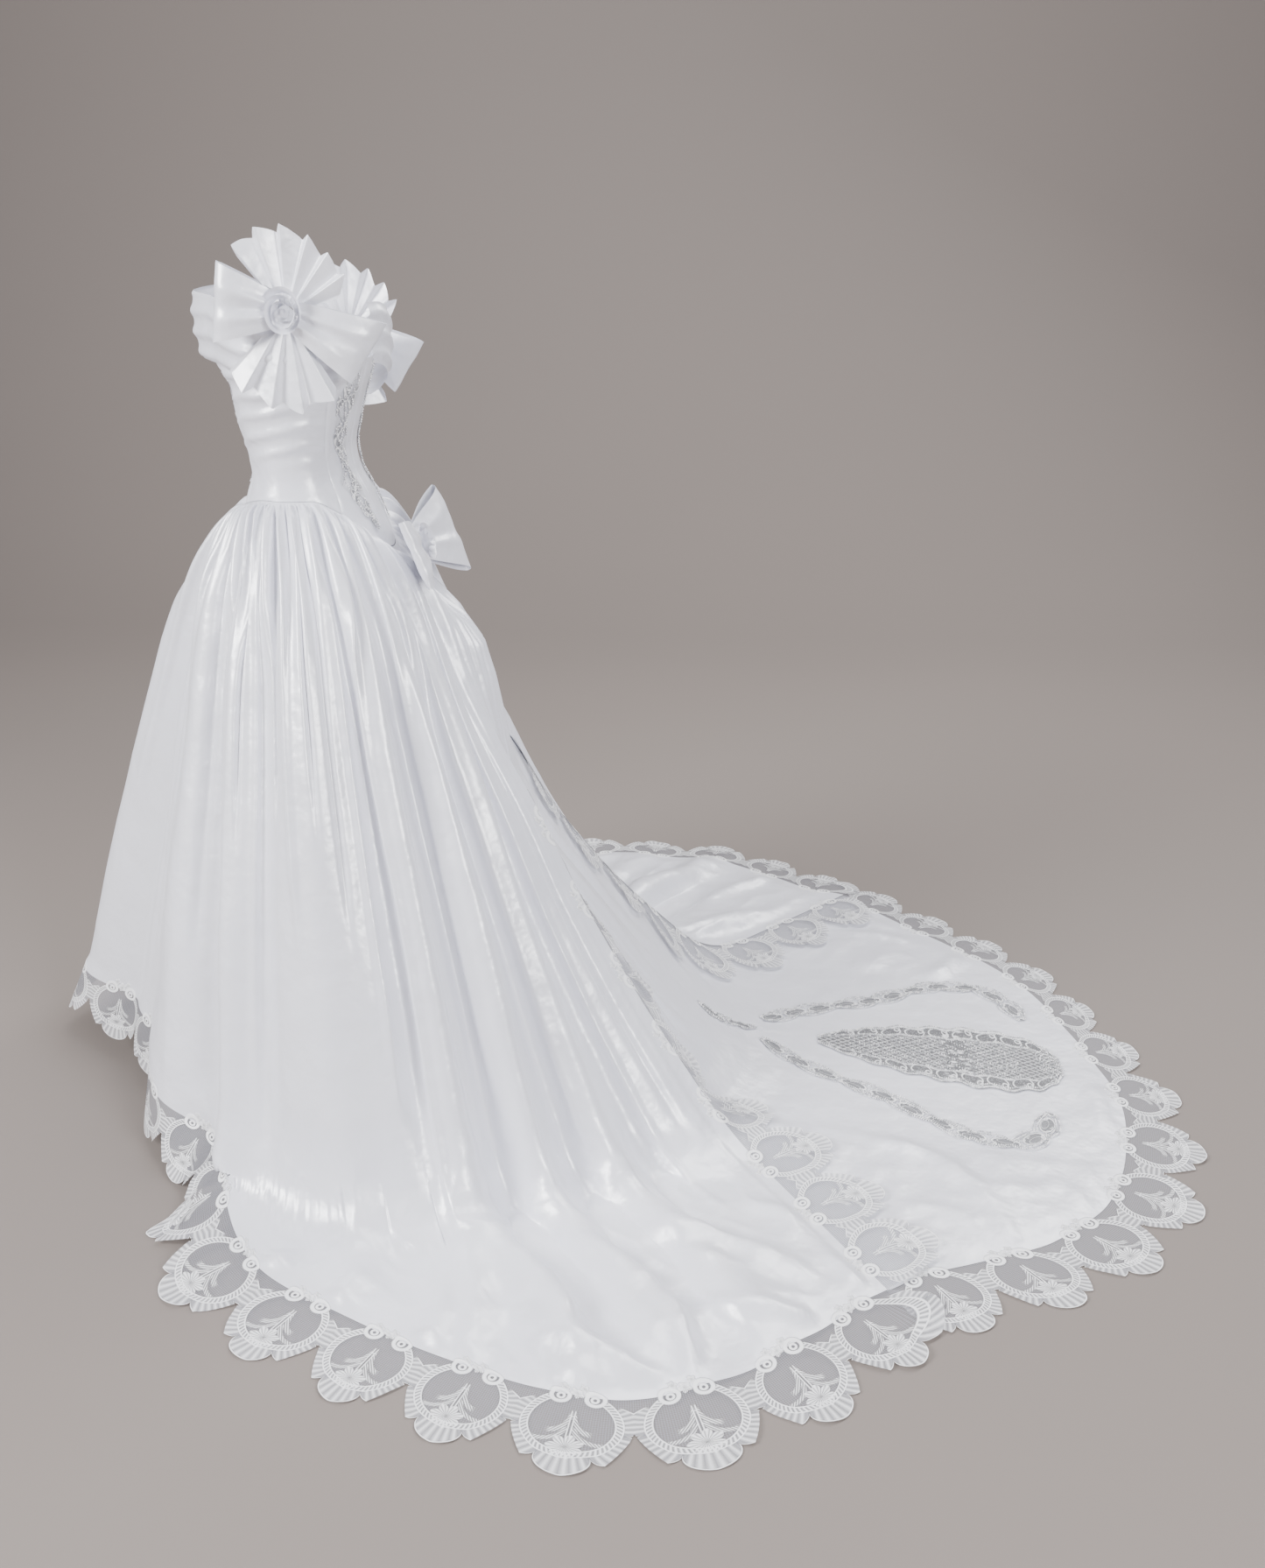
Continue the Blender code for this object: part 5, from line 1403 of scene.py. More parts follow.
def bodice_part(start, end, settings):
    """Outer points of one stretch of the bodice, ruched at the sides above the basque."""
    turns = np.linspace(start, end, max(5, round((end - start) / BODICE_STEP)))
    rows = np.linspace(0, 1, BODICE_LINES)[:, None]
    top = edge_height(turns, "top")[None, :]
    seam = edge_height(turns, "seam")[None, :] + BASQUE_CLEAR * 0.4
    points = np.stack([body_point(turns, row) for row in top + (seam - top) * rows], axis=0)
    place = mirrored_turn(turns)[None, :]
    side = ease((place + 62.0) / 14.0) * (1 - ease((place - 40.0) / 12.0))
    above_waist = ease((points[..., 2] - 1.145) / 0.035)
    uneven = 0.9 * random_height(points, 0.09, seed=2.5)
    phase = 2 * math.pi * (rows * 7.5 + place / 62.0) + 2.6 * uneven
    folds = (0.5 + 0.5 * np.cos(phase)) ** 1.6
    relief = 0.0042 * folds * side * above_waist
    fan = np.cos(np.radians(place * 9.0) + rows * 3.0 + 2.0 * uneven)
    relief = relief + 0.0010 * fan * (1 - above_waist) * ease((rows - 0.55) / 0.2)
    relief = relief + 0.0008 * creased(points, 0.05, seed=9.0) * (1 - ease((rows - 0.96) / 0.04))
    edge = np.minimum(turns - start, end - turns)[None, :]
    relief = relief * ease(edge / 3.0) - SEAM_SHIFT * (1 - ease(edge / 1.2))
    relief = relief * ease((1 - rows) / 0.02)
    outward = grid_normals(points, points * (1, 1, 0))
    return points + outward * (settings.crease_amount * relief)[..., None]


def build_bodice(settings):
    finish = satin_material("satin_bodice", settings)
    stretches = (
        ("bodice_back_right", PLACKET_DEG - 360.0, -BACK_SEAM_DEG - 180.0),
        ("bodice_side_right", -BACK_SEAM_DEG - 180.0, -125.0),
        ("bodice_front", -125.0, -55.0),
        ("bodice_side_left", -55.0, BACK_SEAM_DEG),
        ("bodice_back_left", BACK_SEAM_DEG, 180.0 - PLACKET_DEG),
        ("placket_back", 180.0 - PLACKET_DEG, PLACKET_DEG),
    )
    for name, start, end in stretches:
        points = bodice_part(start, end, settings)
        piece = shell("satin_" + name, points, {"cloth": cloth_map(points)}, finish, points * (1, 1, 0))
        stand_for(piece, [name], points)


def fine_band_half(far_arm):
    """One half of the band, on a finer grid along and across."""
    coarse = band_half(far_arm)
    places = np.linspace(0, coarse.shape[1] - 1, 6 * (coarse.shape[1] - 1) + 1)
    ways = np.arange(coarse.shape[1], dtype=float)
    lines = np.stack(
        [np.stack([smooth_curve(places, ways, row[:, k]) for k in range(3)], axis=-1) for row in coarse]
    )
    rows = np.linspace(0, len(coarse) - 1, 41)
    levels = np.arange(len(coarse), dtype=float)
    grid = np.empty((len(rows), lines.shape[1], 3))
    for k in range(3):
        for j in range(lines.shape[1]):
            grid[:, j, k] = smooth_curve(rows, levels, lines[:, j, k])
    return grid


def build_band(settings):
    near = fine_band_half(False)
    whole = np.concatenate([fine_band_half(True)[:, :0:-1] * (-1, 1, 1), near], axis=1)
    normals = grid_normals(whole, whole * (1, 1, 0))
    centre = near.shape[1] - 1
    rows = np.linspace(0, 1, len(whole))[:, None]
    place = np.abs(np.arange(whole.shape[1]) - centre)[None, :] / centre
    drift = 0.7 * random_height(whole, 0.12, seed=3.3)
    folds = (0.5 + 0.5 * np.cos(2 * math.pi * (rows * 3.2 + 0.5 * place) + 1.6 * drift)) ** 1.5
    ends = ease(rows / 0.06) * ease((1 - rows) / 0.06)
    whole = whole + normals * (settings.crease_amount * 0.0045 * folds * ends)[..., None]
    finish = satin_material("satin_band", settings)
    split = 12 * BAND_SPLIT
    first, last = centre - split, centre + split
    for name, start, end in (("sleeve_right", 0, first), ("sleeve_left", last, whole.shape[1] - 1)):
        part = whole[:, start : end + 1]
        piece = shell("satin_" + name, part, {"cloth": cloth_map(part)}, finish, part * (1, 1, 0))
        stand_for(piece, [name], part)
    edge = whole[-1, first : last + 1]
    turn = np.degrees(np.arctan2(edge[:, 1] / BODY["front"][-2], edge[:, 0] / BODY["half_width"][-2]))
    on_body = body_point(turn, BAND_BOTTOM - 0.006) + unit(edge * (1, 1, 0)) * (0.0003 + RIBBON)
    way = on_body - edge
    reach = np.linalg.norm(way, axis=-1, keepdims=True)
    tucked = edge + way * np.minimum(1.0, BAND_TUCK / reach)
    under = np.stack([edge + (tucked - edge) * share for share in (0.25, 0.5, 0.75, 1.0)])
    front = np.concatenate([whole[:, first : last + 1], under])
    piece = shell("satin_neckline_band", front, {"cloth": cloth_map(front)}, finish, front * (1, 1, 0))
    stand_for(piece, ["neckline_band"], front)


def fine_loop(length, root, end, shift, slant, bulge, lift, seed):
    """A creased ribbon loop on its bow's axes: along, across and out."""
    turns = np.linspace(0.10, 0.90, 72)[:, None]
    across = np.linspace(-1, 1, 40)[None, :]
    share = (1 - np.cos(2 * math.pi * turns)) / 2
    reach = np.where(turns < 0.5, bulge, bulge * 0.35)
    out = reach * np.sin(2 * math.pi * turns) * share**0.8
    half = root + (end - root) * share**0.8
    grid = np.empty((len(turns), across.shape[1], 3))
    grid[..., 0] = share * (length + slant * across)
    grid[..., 1] = half * across + shift * share
    grid[..., 2] = lift + out * (1 - 0.25 * across**2)
    facing = np.where(turns < 0.5, 1.0, -0.4)
    creases = np.zeros(grid.shape[:2])
    for centre, width, depth in ((-0.55, 0.20, 0.0060), (-0.05, 0.22, -0.0075), (0.48, 0.18, 0.0065)):
        middle = (centre + 0.14 * math.sin(seed * 3.7 + centre * 5.0)) * (0.55 + 0.45 * share)
        creases += depth * np.exp(-(((across - middle) / width) ** 2)) * (1 - 0.80 * share)
    creases += 0.0060 * random_height(grid, 0.055, seed=seed) * share
    creases *= ease(share / 0.10)
    grid[..., 2] += creases * facing
    return grid


def fine_fan(rows, pleats, depth, lift, root):
    """Knife pleats with soft folded edges spread from the knot."""
    each = 14
    turns = np.linspace(rows["turn"][0], rows["turn"][-1], 2 * pleats * each + 1)
    radii = smooth_curve(turns, rows["turn"], rows["radius"])
    fold = np.arange(len(turns)) / each
    share_of_pleat = np.mod(fold, 2.0) / 2.0
    wave = np.interp(share_of_pleat, (0.0, 0.10, 0.78, 1.0), (-0.9, -1.0, 1.0, -0.9))
    lean = np.interp(share_of_pleat, (0.0, 0.80, 1.0), (-0.0065, 0.0065, -0.0065))
    shares = np.linspace(0, 1, 26)[:, None]
    reach = root + (radii + lean - root)[None, :] * shares
    grid = np.empty((len(shares), len(turns), 3))
    sway = np.radians(turns)[None, :] + 0.012 * np.sin(fold * 1.9)[None, :] * shares
    grid[..., 0] = reach * np.cos(sway)
    grid[..., 1] = reach * np.sin(sway)
    grid[..., 2] = lift + depth * wave[None, :] * shares**0.8
    grid[..., 2] += 0.0012 * random_height(grid, 0.03, seed=1.1) * shares
    return grid


def fine_rose(width, height, lift, turns_round):
    """A strip of satin rolled from the middle out, with petal-like folds at its edge."""
    steps = np.linspace(0, 1, 260)[None, :]
    rise = np.linspace(0, 1, 16)[:, None]
    turn = 2 * math.pi * turns_round * steps
    petals = 0.5 + 0.5 * np.cos(turn * 1.55 + 0.7)
    radius = 0.10 + 0.90 * steps
    flare = 0.76 + 0.12 * rise + (0.10 + 0.07 * petals) * rise**3
    grid = np.empty((16, 260, 3))
    grid[..., 0] = radius * flare * width * np.cos(turn)
    grid[..., 1] = radius * flare * height * np.sin(turn)
    grid[..., 2] = lift + (0.024 - 0.012 * steps) * rise * (0.80 + 0.20 * petals)
    grid[..., 2] += 0.0012 * random_height(grid, 0.012, seed=4.0) * rise
    return grid


def bow_shell(name, local, axes, mirror, finish, rounded_out=True):
    points = placed(local, *axes)
    outward = points - points.mean(axis=(0, 1)) if rounded_out else np.broadcast_to(axes[-1], points.shape)
    if mirror:
        points, outward = points * (-1, 1, 1), outward * (-1, 1, 1)
    piece = shell("satin_" + name, points, {"cloth": cloth_map(points)}, finish, outward)
    stand_for(piece, [name], points)


def build_shoulder_bows(settings):
    finish = satin_material("satin_shoulder_bow", settings)
    for side, centre, mirror in (("left", BOW_LEFT, False), ("right", BOW_RIGHT, True)):
        axes = (centre, (0, 1, 0), (0, 0, 1), (1, 0, 0))
        top_axes = (np.array(centre) - (0, 0, TOP_FAN_DROP), *axes[1:])
        front_axes = (centre, (0.10, -1, 0.14), (0, 0.14, 1), (1, 0.10, 0))
        rear_axes = (centre, (-0.30, 1, -0.46), (0, 0.46, 1), (1, 0.30, 0))
        low = fine_fan(FAN_LOW, 4, 0.007, LOW_FAN_LIFT, 0.014)
        bow_shell("shoulder_fan_low_" + side, low, axes, mirror, finish, rounded_out=False)
        top = fine_fan(FAN_TOP, 6, 0.006, TOP_FAN_LIFT, 0.014)
        bow_shell("shoulder_fan_top_" + side, top, top_axes, mirror, finish, rounded_out=False)
        front = fine_loop(0.100, 0.016, 0.056, 0.0, 0.0, 0.029, FRONT_LOOP_LIFT, 1.0)
        bow_shell("shoulder_loop_front_" + side, front, front_axes, mirror, finish)
        rear = fine_loop(0.127, 0.016, 0.050, -0.010, 0.008, 0.028, REAR_LOOP_LIFT, 2.0)
        bow_shell("shoulder_loop_rear_" + side, rear, rear_axes, mirror, finish)
        rose = fine_rose(0.030, 0.036, SHOULDER_ROSE_LIFT, ROSETTE_TURNS + 1.0)
        bow_shell("shoulder_rosette_" + side, rose, axes, mirror, finish)


def build_back_bow(settings):
    finish = satin_material("satin_back_bow", settings)
    slope = (0, 0.36, -0.93)
    out = (0, 0.93, 0.36)
    near_axes = (BACK_BOW_CENTRE, (1, 0.22, 0.06), slope, out)
    far_axes = (BACK_BOW_CENTRE, (-1, 0.30, 0.0), slope, out)
    near = fine_loop(0.125, 0.020, 0.058, 0.0, 0.0, 0.028, 0.031, 3.0)
    far = fine_loop(0.135, 0.020, 0.080, 0.0, 0.0, 0.030, 0.030, 4.0)
    bow_shell("back_bow_loop_left", near, near_axes, False, finish)
    bow_shell("back_bow_loop_right", far, far_axes, False, finish)
    rose = fine_rose(0.042, 0.034, BACK_ROSE_LIFT, ROSETTE_TURNS + 1.0)
    bow_shell("back_bow_rosette", rose, (BACK_BOW_CENTRE, (1, 0, 0), slope, out), False, finish)


def train_surface():
    """Height of the train under a place of the plan."""
    piece = bpy.data.objects["satin_back_train"]

    def height(x, y):
        hit, place, _, _ = piece.ray_cast(Vector((x, y, 0.0)), Vector((0.0, 0.0, -1.0)))
        return place.z if hit else FLOOR_Z

    return height


def swept(x, y):
    """Plan place on the train of a place on the beading's own straight axes."""
    return x + TRAIN_CENTRE[0] + TRAIN_SWEEP * (y - 1.05), y


def strip_line(rows, side, count):
    """Middle line and width of a curved strip, on the beading's own axes."""
    places = np.linspace(0, len(rows["along"]) - 1, count)
    index = np.arange(len(rows["along"]), dtype=float)
    line = np.stack(
        [side * smooth_curve(places, index, rows["across"]), smooth_curve(places, index, rows["along"])], axis=-1
    )
    width = smooth_curve(places, index, rows["width"])
    tangent = np.gradient(line, axis=0)
    away = unit(np.stack([tangent[:, 1], -tangent[:, 0]], axis=-1))
    return line, away, width


def laid_on_train(flat, height, lift):
    """Plan places set on the train's surface, in the tables' heights."""
    x, y = swept(flat[..., 0], flat[..., 1])
    points = np.stack([x, y, 0 * x], axis=-1)
    for place in np.ndindex(x.shape):
        points[place][2] = height(x[place], y[place]) + HOLD_HEIGHT + lift
    return points


def bead_rows(line, spacing):
    """Places at even spacing along a plan line."""
    lengths = np.concatenate([[0.0], np.cumsum(np.linalg.norm(np.diff(line, axis=0), axis=1))])
    steps = np.arange(spacing / 2, lengths[-1], spacing)
    return np.stack([np.interp(steps, lengths, line[:, k]) for k in range(line.shape[1])], axis=-1)


def beads(name, places, size, finish):
    """Small round beads joined into one mesh, at places in the tables' heights."""
    shape = bmesh.new()
    for x, y, z in places:
        made = bmesh.ops.create_icosphere(shape, subdivisions=1, radius=size / 2)
        bmesh.ops.translate(shape, verts=made["verts"], vec=(x, y, z - HOLD_HEIGHT))
    mesh = bpy.data.meshes.new(name)
    shape.to_mesh(mesh)
    shape.free()
    mesh.shade_smooth()
    mesh.materials.append(finish)
    piece = bpy.data.objects.new(name, mesh)
    bpy.context.scene.collection.objects.link(piece)
    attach(piece, "root")
    return piece


def lobed(width, count, length_share):
    """Width of a scroll swelling into a chain of ovals."""
    return width * (0.60 + 0.75 * np.abs(np.sin(math.pi * count * length_share)) ** 0.7)


def build_train_beading(settings):
    """Medallion, scrolls and stem: beaded net, with rows of pearls along their edges."""
    height = train_surface()
    finish = beaded_material("train_scrolls", settings, "scroll")
    pearls = []
    for name, rows, side, lobes in (
        ("train_stem", TRAIN_STEM, 1, 3),
        ("train_scroll_left", SCROLL, 1, 8),
        ("train_scroll_right", SCROLL, -1, 8),
    ):
        count = 240 if lobes > 3 else 60
        line, away, width = strip_line(rows, side, count)
        share = np.linspace(0, 1, count)
        wide = lobed(width, lobes, share)
        across = np.linspace(-1, 1, 9)
        flat = line[None] + away[None] * (wide[None, :] / 2 * across[:, None])[..., None]
        points = laid_on_train(flat, height, TRAIN_APPLIQUE_LIFT + LACE)
        lengths = arc_lengths(line)
        metres = np.stack(np.broadcast_arrays(lengths[None, :], across[:, None] * wide[None, :] / 2), axis=-1)
        edge = np.stack(np.broadcast_arrays(lengths[None, :], np.abs(across)[:, None] + 0 * wide[None, :]), axis=-1)
        piece = shell("beaded_" + name, points, {"beads": metres, "edge": edge}, finish, (0, 0, 1))
        stand_for(piece, [name], points)
        for share_of_width in (-0.47, -0.30, 0.30, 0.47):
            pearls.append(bead_rows(line + away * (wide * share_of_width)[:, None], settings.bead_size * 1.15))
    along_rows = np.linspace(0, len(MEDALLION["along"]) - 1, 120)
    index = np.arange(len(MEDALLION["along"]), dtype=float)
    y = smooth_curve(along_rows, index, MEDALLION["along"])
    half = smooth_curve(along_rows, index, MEDALLION["half_width"])
    half = half * (1.0 + 0.05 * np.sin(np.linspace(0, 1, 120) * 2 * math.pi * 9))
    across = np.linspace(-1, 1, 41)
    flat = np.stack([half[:, None] * across[None, :], y[:, None] + 0 * across[None, :]], axis=-1)
    points = laid_on_train(flat, height, TRAIN_APPLIQUE_LIFT + LACE)
    edge = np.stack([flat[..., 1], np.abs(across)[None, :] + 0 * flat[..., 0]], axis=-1)
    finish = beaded_material("train_medallion", settings, "trellis")
    piece = shell("beaded_train_medallion", points, {"beads": flat, "edge": edge}, finish, (0, 0, 1))
    stand_for(piece, ["train_medallion"], points)
    pearls += medallion_pearls(y, half, settings.bead_size)
    flat_pearls = np.concatenate(pearls)
    places = laid_on_train(flat_pearls, height, TRAIN_APPLIQUE_LIFT + LACE + settings.bead_size * 0.35)
    beads("train_pearls", places, settings.bead_size, bead_material("train_pearls", settings))


def medallion_pearls(y, half, size):
    """Double border, a trellis in the middle and a frame of scrolls, as plan lines."""
    rows = []
    for share in (0.97, 0.88, 0.60):
        for side in (-1, 1):
            rows.append(bead_rows(np.stack([side * share * half, y], axis=-1), size * 1.15))
    low, high = 0.95, 1.27
    pitch = 0.022
    for way in (-1, 1):
        for offset in np.arange(-0.5, 0.5, pitch):
            t = np.linspace(low, high, 90)
            line = np.stack([offset + way * 0.62 * (t - low), t], axis=-1)
            limit = 0.58 * np.interp(t, y, half)
            inside = line[np.abs(line[:, 0]) < limit]
            if len(inside) > 3:
                rows.append(bead_rows(inside, size * 1.5))
    for k in range(9):
        turn = math.radians(20 + 17.5 * k)
        petal = np.linspace(0, 1, 20)
        reach = 0.012 + 0.040 * petal
        bend = turn + 0.25 * np.sin(petal * math.pi)
        fan = np.stack([reach * np.cos(bend), 1.300 + reach * np.sin(bend)], axis=-1)
        rows.append(bead_rows(fan, size * 1.2))
    return rows


def applique_grid(rows, mirror, settings, lines=64, columns=25):
    """Points on the bodice under a beaded applique, with its UV."""
    heights = np.linspace(rows["height"][0], rows["height"][-1], lines)
    centre = smooth_curve(heights, rows["height"][::-1], rows["centre"][::-1])
    half = smooth_curve(heights, rows["height"][::-1], rows["half_width"][::-1])
    across = np.linspace(-1, 1, columns)
    turns = centre[:, None] + half[:, None] * across[None, :]
    points = np.stack([body_point(turn, height + 0 * turn) for turn, height in zip(turns, heights)])
    points = points + grid_normals(points, points * (1, 1, 0)) * (APPLIQUE_LIFT + LACE)
    if mirror:
        points = points * (-1, 1, 1)
    down, wide = cell_lengths(points)[1], cell_lengths(points)[0]
    run = np.concatenate([np.zeros((1, columns)), np.cumsum(down, axis=0)])
    width = np.concatenate([np.zeros((lines, 1)), np.cumsum(wide, axis=1)], axis=1)
    metres = np.stack([run, width - width[:, columns // 2][:, None]], axis=-1)
    edge = np.stack([run, np.abs(across)[None, :] + 0 * run], axis=-1)
    return points, metres, edge


def build_bodice_beading(settings):
    """Beaded lace on the front and beside the back placket, with crystals along its vines."""
    finish = beaded_material("bodice_beading", settings, "vine")
    crystals = []
    for name, rows, mirror in (
        ("applique_front", FRONT_APPLIQUE, False),
        ("applique_back_left", BACK_APPLIQUE, False),
        ("applique_back_right", BACK_APPLIQUE, True),
    ):
        points, metres, edge = applique_grid(rows, mirror, settings)
        piece = shell("beaded_" + name, points, {"beads": metres, "edge": edge}, finish, points * (1, 1, 0))
        stand_for(piece, [name], points)
        normals = grid_normals(points, points * (1, 1, 0))
        for vine, (sway, phase) in enumerate(((0.62, 0.0), (0.62, math.pi), (0.25, 1.2))):
            steps = np.linspace(0.02, 0.98, 64)
            column = (1 + sway * np.sin(steps * 6.5 * math.pi + phase)) / 2 * (points.shape[1] - 1)
            row = steps * (points.shape[0] - 1)
            crystals.append(sampled(points + normals * 0.0012, row, column))
    places = np.concatenate(crystals)
    beads("bodice_crystals", places, settings.bead_size, bead_material("bodice_crystals", settings))


# The camera over the photograph, in metres and degrees, with the frame in pixels
CAMERA_PLACE = (2.553, 0.716, 0.320)
CAMERA_TURN_DEG = 94.0
CAMERA_DOWN_DEG = 21.57
CAMERA_FOCUS_PX = 1800.0
FRAME_HEIGHT_PX = 1791.0
SENSOR_MM = 36.0


# The floor runs level to here, then curves up into the backdrop
BACKDROP_FRONT = 5.0
BACKDROP_START = 2.9
BACKDROP_RADIUS = 2.2


def add_camera():
    turn, down = math.radians(CAMERA_TURN_DEG), math.radians(CAMERA_DOWN_DEG)
    ahead = Vector((-math.sin(turn) * math.cos(down), math.cos(turn) * math.cos(down), -math.sin(down)))
    data = bpy.data.cameras.new("camera")
    data.sensor_fit = "AUTO"
    data.sensor_width = SENSOR_MM
    data.lens = SENSOR_MM * CAMERA_FOCUS_PX / FRAME_HEIGHT_PX
    data.clip_end = 60.0
    camera = bpy.data.objects.new("camera", data)
    camera.location = CAMERA_PLACE
    camera.rotation_euler = ahead.to_track_quat("-Z", "Y").to_euler()
    bpy.context.scene.collection.objects.link(camera)
    bpy.context.scene.camera = camera


def add_softbox(name, place, target, size, power):
    data = bpy.data.lights.new(name, "AREA")
    data.shape = "RECTANGLE"
    data.size, data.size_y = size
    data.energy = power
    lamp = bpy.data.objects.new(name, data)
    lamp.location = place
    lamp.rotation_euler = (Vector(target) - Vector(place)).to_track_quat("-Z", "Y").to_euler()
    bpy.context.scene.collection.objects.link(lamp)


def build_studio(settings):
    """Floor that curves up into a backdrop, soft lamps and camera."""
    shape = bmesh.new()
    bmesh.ops.create_grid(shape, x_segments=96, y_segments=1, size=14.0)
    for corner in shape.verts:
        corner.co.x -= BACKDROP_FRONT
    for corner in shape.verts:
        past = max(0.0, -BACKDROP_START - corner.co.x)
        turn = min(past / BACKDROP_RADIUS, math.pi / 2)
        if past > 0.0:
            corner.co.x = -BACKDROP_START - BACKDROP_RADIUS * math.sin(turn)
            corner.co.z = BACKDROP_RADIUS * (1 - math.cos(turn)) + past - BACKDROP_RADIUS * turn
        corner.co.z += FLOOR_Z - 0.0006
    mesh = bpy.data.meshes.new("studio_floor")
    shape.to_mesh(mesh)
    shape.free()
    mesh.shade_smooth()
    mesh.materials.append(floor_material(settings))
    floor = bpy.data.objects.new("studio_floor", mesh)
    bpy.context.scene.collection.objects.link(floor)
    for name, place, target, size, power in (
        ("softbox_key", (2.5, -2.9, 1.5), (0.0, 0.1, -0.5), (1.6, 2.0), 380.0),
        ("softbox_fill", (3.4, 2.9, 0.9), (0.1, 0.4, -0.6), (1.6, 1.4), 210.0),
        ("softbox_top", (-0.6, 0.9, 3.0), (0.0, 0.6, -1.0), (2.0, 2.6), 110.0),
        ("softbox_rear", (-2.6, 2.6, 2.0), (0.0, 0.7, -0.9), (1.6, 1.2), 90.0),
        ("softbox_backdrop", (-1.4, 0.4, 3.4), (-5.2, 0.4, 0.4), (3.6, 1.0), 110.0),
    ):
        add_softbox(name, place, target, size, power * settings.light_strength)
    world = bpy.data.worlds.new("studio")
    world.use_nodes = True
    background = world.node_tree.nodes["Background"]
    background.inputs["Color"].default_value = (*settings.background_colour, 1.0)
    background.inputs["Strength"].default_value = 1.0
    bpy.context.scene.world = world
    add_camera()


def colour_value(name, description, default):
    return bpy.props.FloatVectorProperty(
        name=name, description=description, subtype="COLOR", size=3, min=0.0, max=1.0, default=default
    )


class DressClothSettings(bpy.types.PropertyGroup):
    """Satin and its creases."""

    satin_colour: colour_value("Satin", "Colour of the satin", (0.80, 0.805, 0.865))
    satin_shade: colour_value("Satin in its darker flecks", "Second satin tone, mixed in softly", (0.755, 0.76, 0.835))
    crease_amount: bpy.props.FloatProperty(
        name="Crease depth", description="Depth of the creases, as a share of the usual",
        subtype="FACTOR", min=0.0, max=2.0, default=1.0,
    )


class DressTrimSettings(bpy.types.PropertyGroup):
    """Lace, net and beads."""

    lace_colour: colour_value("Embroidery", "Colour of the embroidery thread", (0.92, 0.92, 0.94))
    net_colour: colour_value("Net", "Colour of the sheer net", (0.36, 0.36, 0.40))
    silver_colour: colour_value("Silver", "Colour of silver beads and crystals", (0.50, 0.51, 0.53))
    # Painted shade: the near-black colour put between the silver beads for the shadow among them.
    painted_shade_between_beads: colour_value("Beading ground", "Colour between the silver beads", (0.13, 0.13, 0.135))
    pearl_colour: colour_value("Pearl", "Colour of the pearl beads", (0.88, 0.87, 0.88))
    bead_size: bpy.props.FloatProperty(
        name="Bead size", description="Width of one bead",
        subtype="DISTANCE", unit="LENGTH", min=0.002, max=0.006, default=0.0036,
    )


class DressStudioSettings(bpy.types.PropertyGroup):
    """Floor, background and lamps."""

    floor_colour: colour_value("Floor", "Colour of the floor and backdrop", (0.205, 0.176, 0.160))
    background_colour: colour_value("Surroundings", "Even light round the dress", (0.24, 0.245, 0.29))
    light_strength: bpy.props.FloatProperty(
        name="Lamp strength", description="Share of the lamps' usual power",
        subtype="FACTOR", min=0.0, max=5.0, default=1.0,
    )


class Choices:
    """The settings of cloth, trim and studio in one place."""

    def __init__(self, scene):
        for group in (scene.dress_cloth, scene.dress_trim, scene.dress_studio):
            for name in group.__annotations__:
                value = getattr(group, name)
                setattr(self, name, value if isinstance(value, float) else tuple(value))


class DRESS_OT_skirt(bpy.types.Operator):
    """Front and side panels of the skirt, with their gathers and folds"""

    bl_idname = "dress.skirt"
    bl_label = "Skirt panels"

    def execute(self, context):
        build_skirt_panels(Choices(context.scene))
        return {"FINISHED"}


class DRESS_OT_train(bpy.types.Operator):
    """Back panel that runs out into the train"""

    bl_idname = "dress.train"
    bl_label = "Train"

    def execute(self, context):
        build_train(Choices(context.scene))
        return {"FINISHED"}


class DRESS_OT_bodice(bpy.types.Operator):
    """Bodice panels and the back placket"""

    bl_idname = "dress.bodice"
    bl_label = "Bodice"

    def execute(self, context):
        build_bodice(Choices(context.scene))
        return {"FINISHED"}


class DRESS_OT_band(bpy.types.Operator):
    """Off-the-shoulder band and both sleeves"""

    bl_idname = "dress.band"
    bl_label = "Band and sleeves"

    def execute(self, context):
        build_band(Choices(context.scene))
        return {"FINISHED"}


class DRESS_OT_bows(bpy.types.Operator):
    """Bows on the sleeves and at the back waist"""

    bl_idname = "dress.bows"
    bl_label = "Bows"

    def execute(self, context):
        settings = Choices(context.scene)
        build_shoulder_bows(settings)
        build_back_bow(settings)
        return {"FINISHED"}


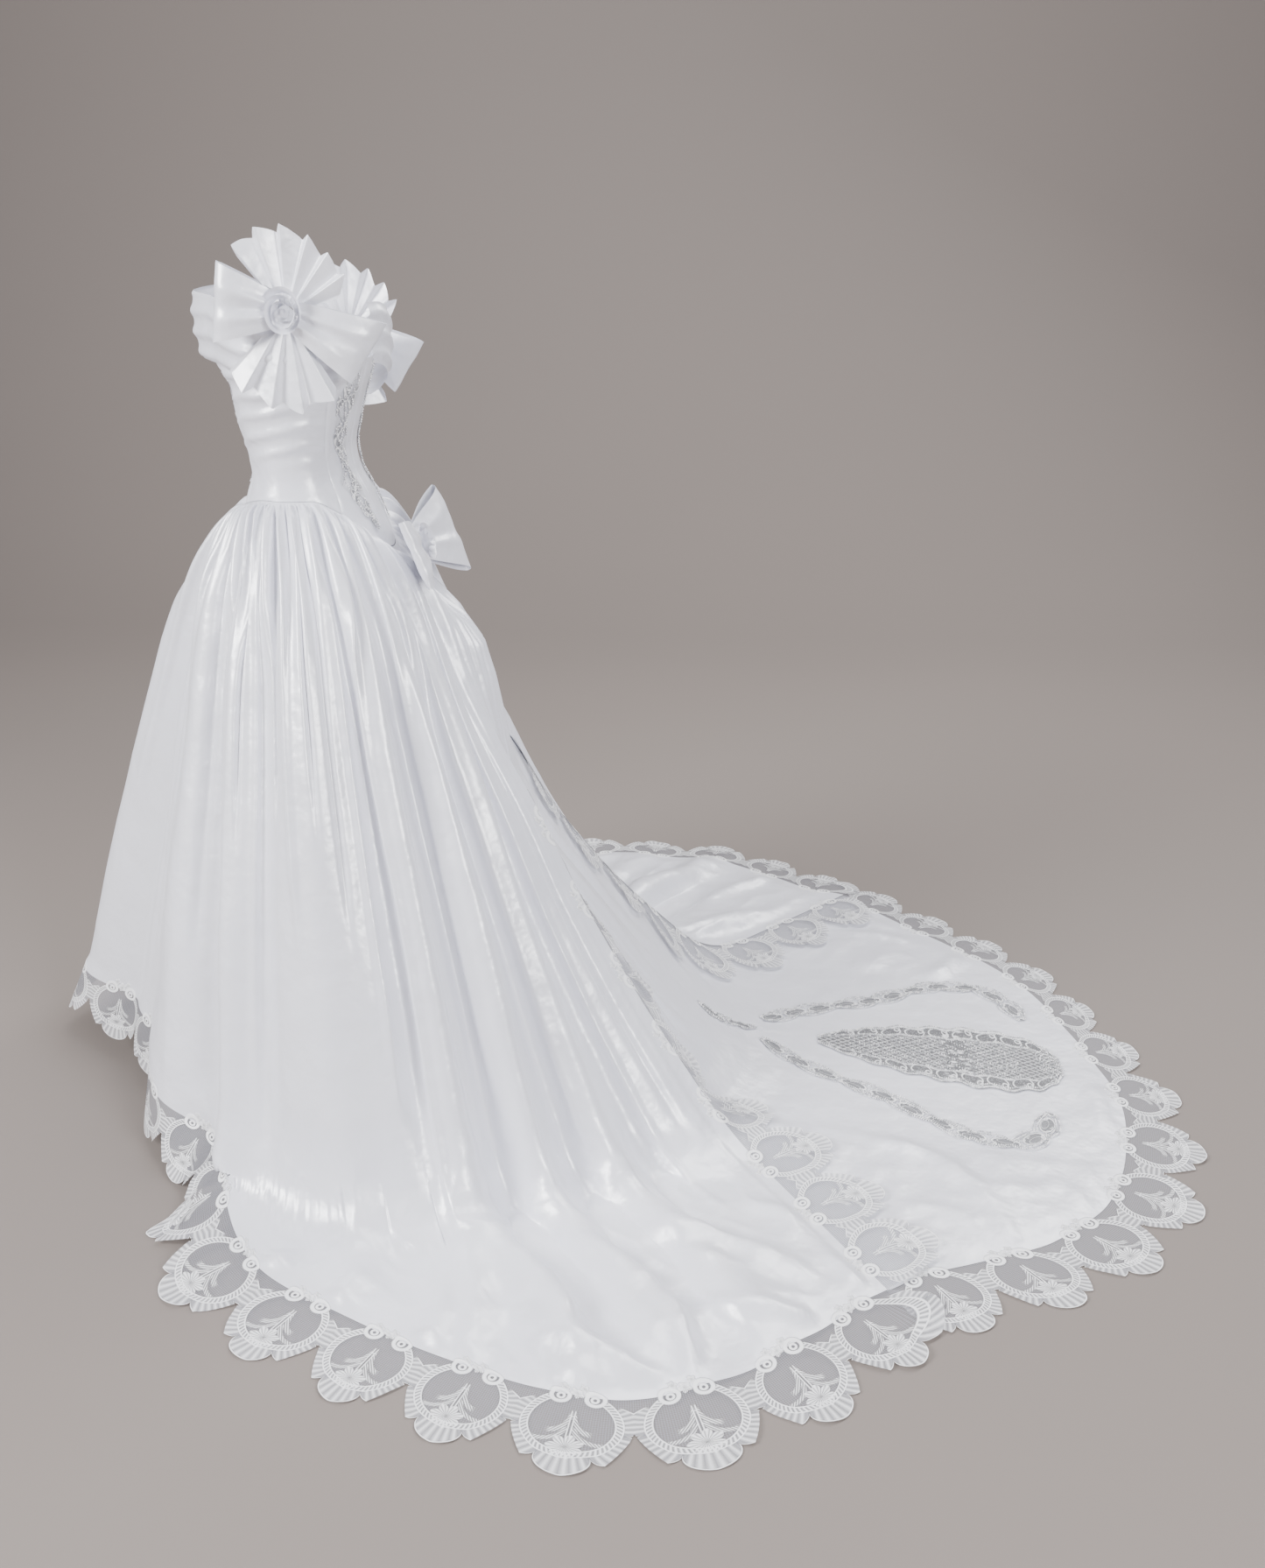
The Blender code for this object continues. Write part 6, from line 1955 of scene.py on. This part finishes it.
class DRESS_OT_lace(bpy.types.Operator):
    """Scalloped lace on the hem, the free edges and the train"""

    bl_idname = "dress.lace"
    bl_label = "Lace edging"

    def execute(self, context):
        settings = Choices(context.scene)
        build_hem_lace(settings)
        build_train_lace(settings)
        build_edge_lace(settings)
        return {"FINISHED"}


class DRESS_OT_beading(bpy.types.Operator):
    """Beaded pieces on the bodice and the train"""

    bl_idname = "dress.beading"
    bl_label = "Beading"

    def execute(self, context):
        settings = Choices(context.scene)
        build_bodice_beading(settings)
        build_train_beading(settings)
        return {"FINISHED"}


class DRESS_OT_studio(bpy.types.Operator):
    """Floor, lamps, background and camera"""

    bl_idname = "dress.studio"
    bl_label = "Studio"

    def execute(self, context):
        build_studio(Choices(context.scene))
        return {"FINISHED"}


OPERATORS = (
    DRESS_OT_studio,
    DRESS_OT_skirt,
    DRESS_OT_train,
    DRESS_OT_bodice,
    DRESS_OT_band,
    DRESS_OT_bows,
    DRESS_OT_lace,
    DRESS_OT_beading,
)


class DRESS_PT_panel(bpy.types.Panel):
    """Lists the dress's pieces in the sidebar"""

    bl_idname = "DRESS_PT_panel"
    bl_label = "Wedding dress"
    bl_space_type = "VIEW_3D"
    bl_region_type = "UI"
    bl_category = "Dress"

    def draw(self, context):
        for group in (context.scene.dress_cloth, context.scene.dress_trim, context.scene.dress_studio):
            for name in group.__annotations__:
                self.layout.prop(group, name)
        for operator in OPERATORS:
            self.layout.operator(operator.bl_idname)


GROUPS = (("dress_cloth", DressClothSettings), ("dress_trim", DressTrimSettings), ("dress_studio", DressStudioSettings))


def register():
    for name, group in GROUPS:
        bpy.utils.register_class(group)
        setattr(bpy.types.Scene, name, bpy.props.PointerProperty(type=group))
    for operator in OPERATORS:
        bpy.utils.register_class(operator)
    bpy.utils.register_class(DRESS_PT_panel)


def unregister():
    bpy.utils.unregister_class(DRESS_PT_panel)
    for operator in reversed(OPERATORS):
        bpy.utils.unregister_class(operator)
    for name, group in reversed(GROUPS):
        delattr(bpy.types.Scene, name)
        bpy.utils.unregister_class(group)


def main():
    register()
    for operator in OPERATORS:
        group, name = operator.bl_idname.split(".")
        getattr(getattr(bpy.ops, group), name)()


if __name__ == "__main__":
    main()
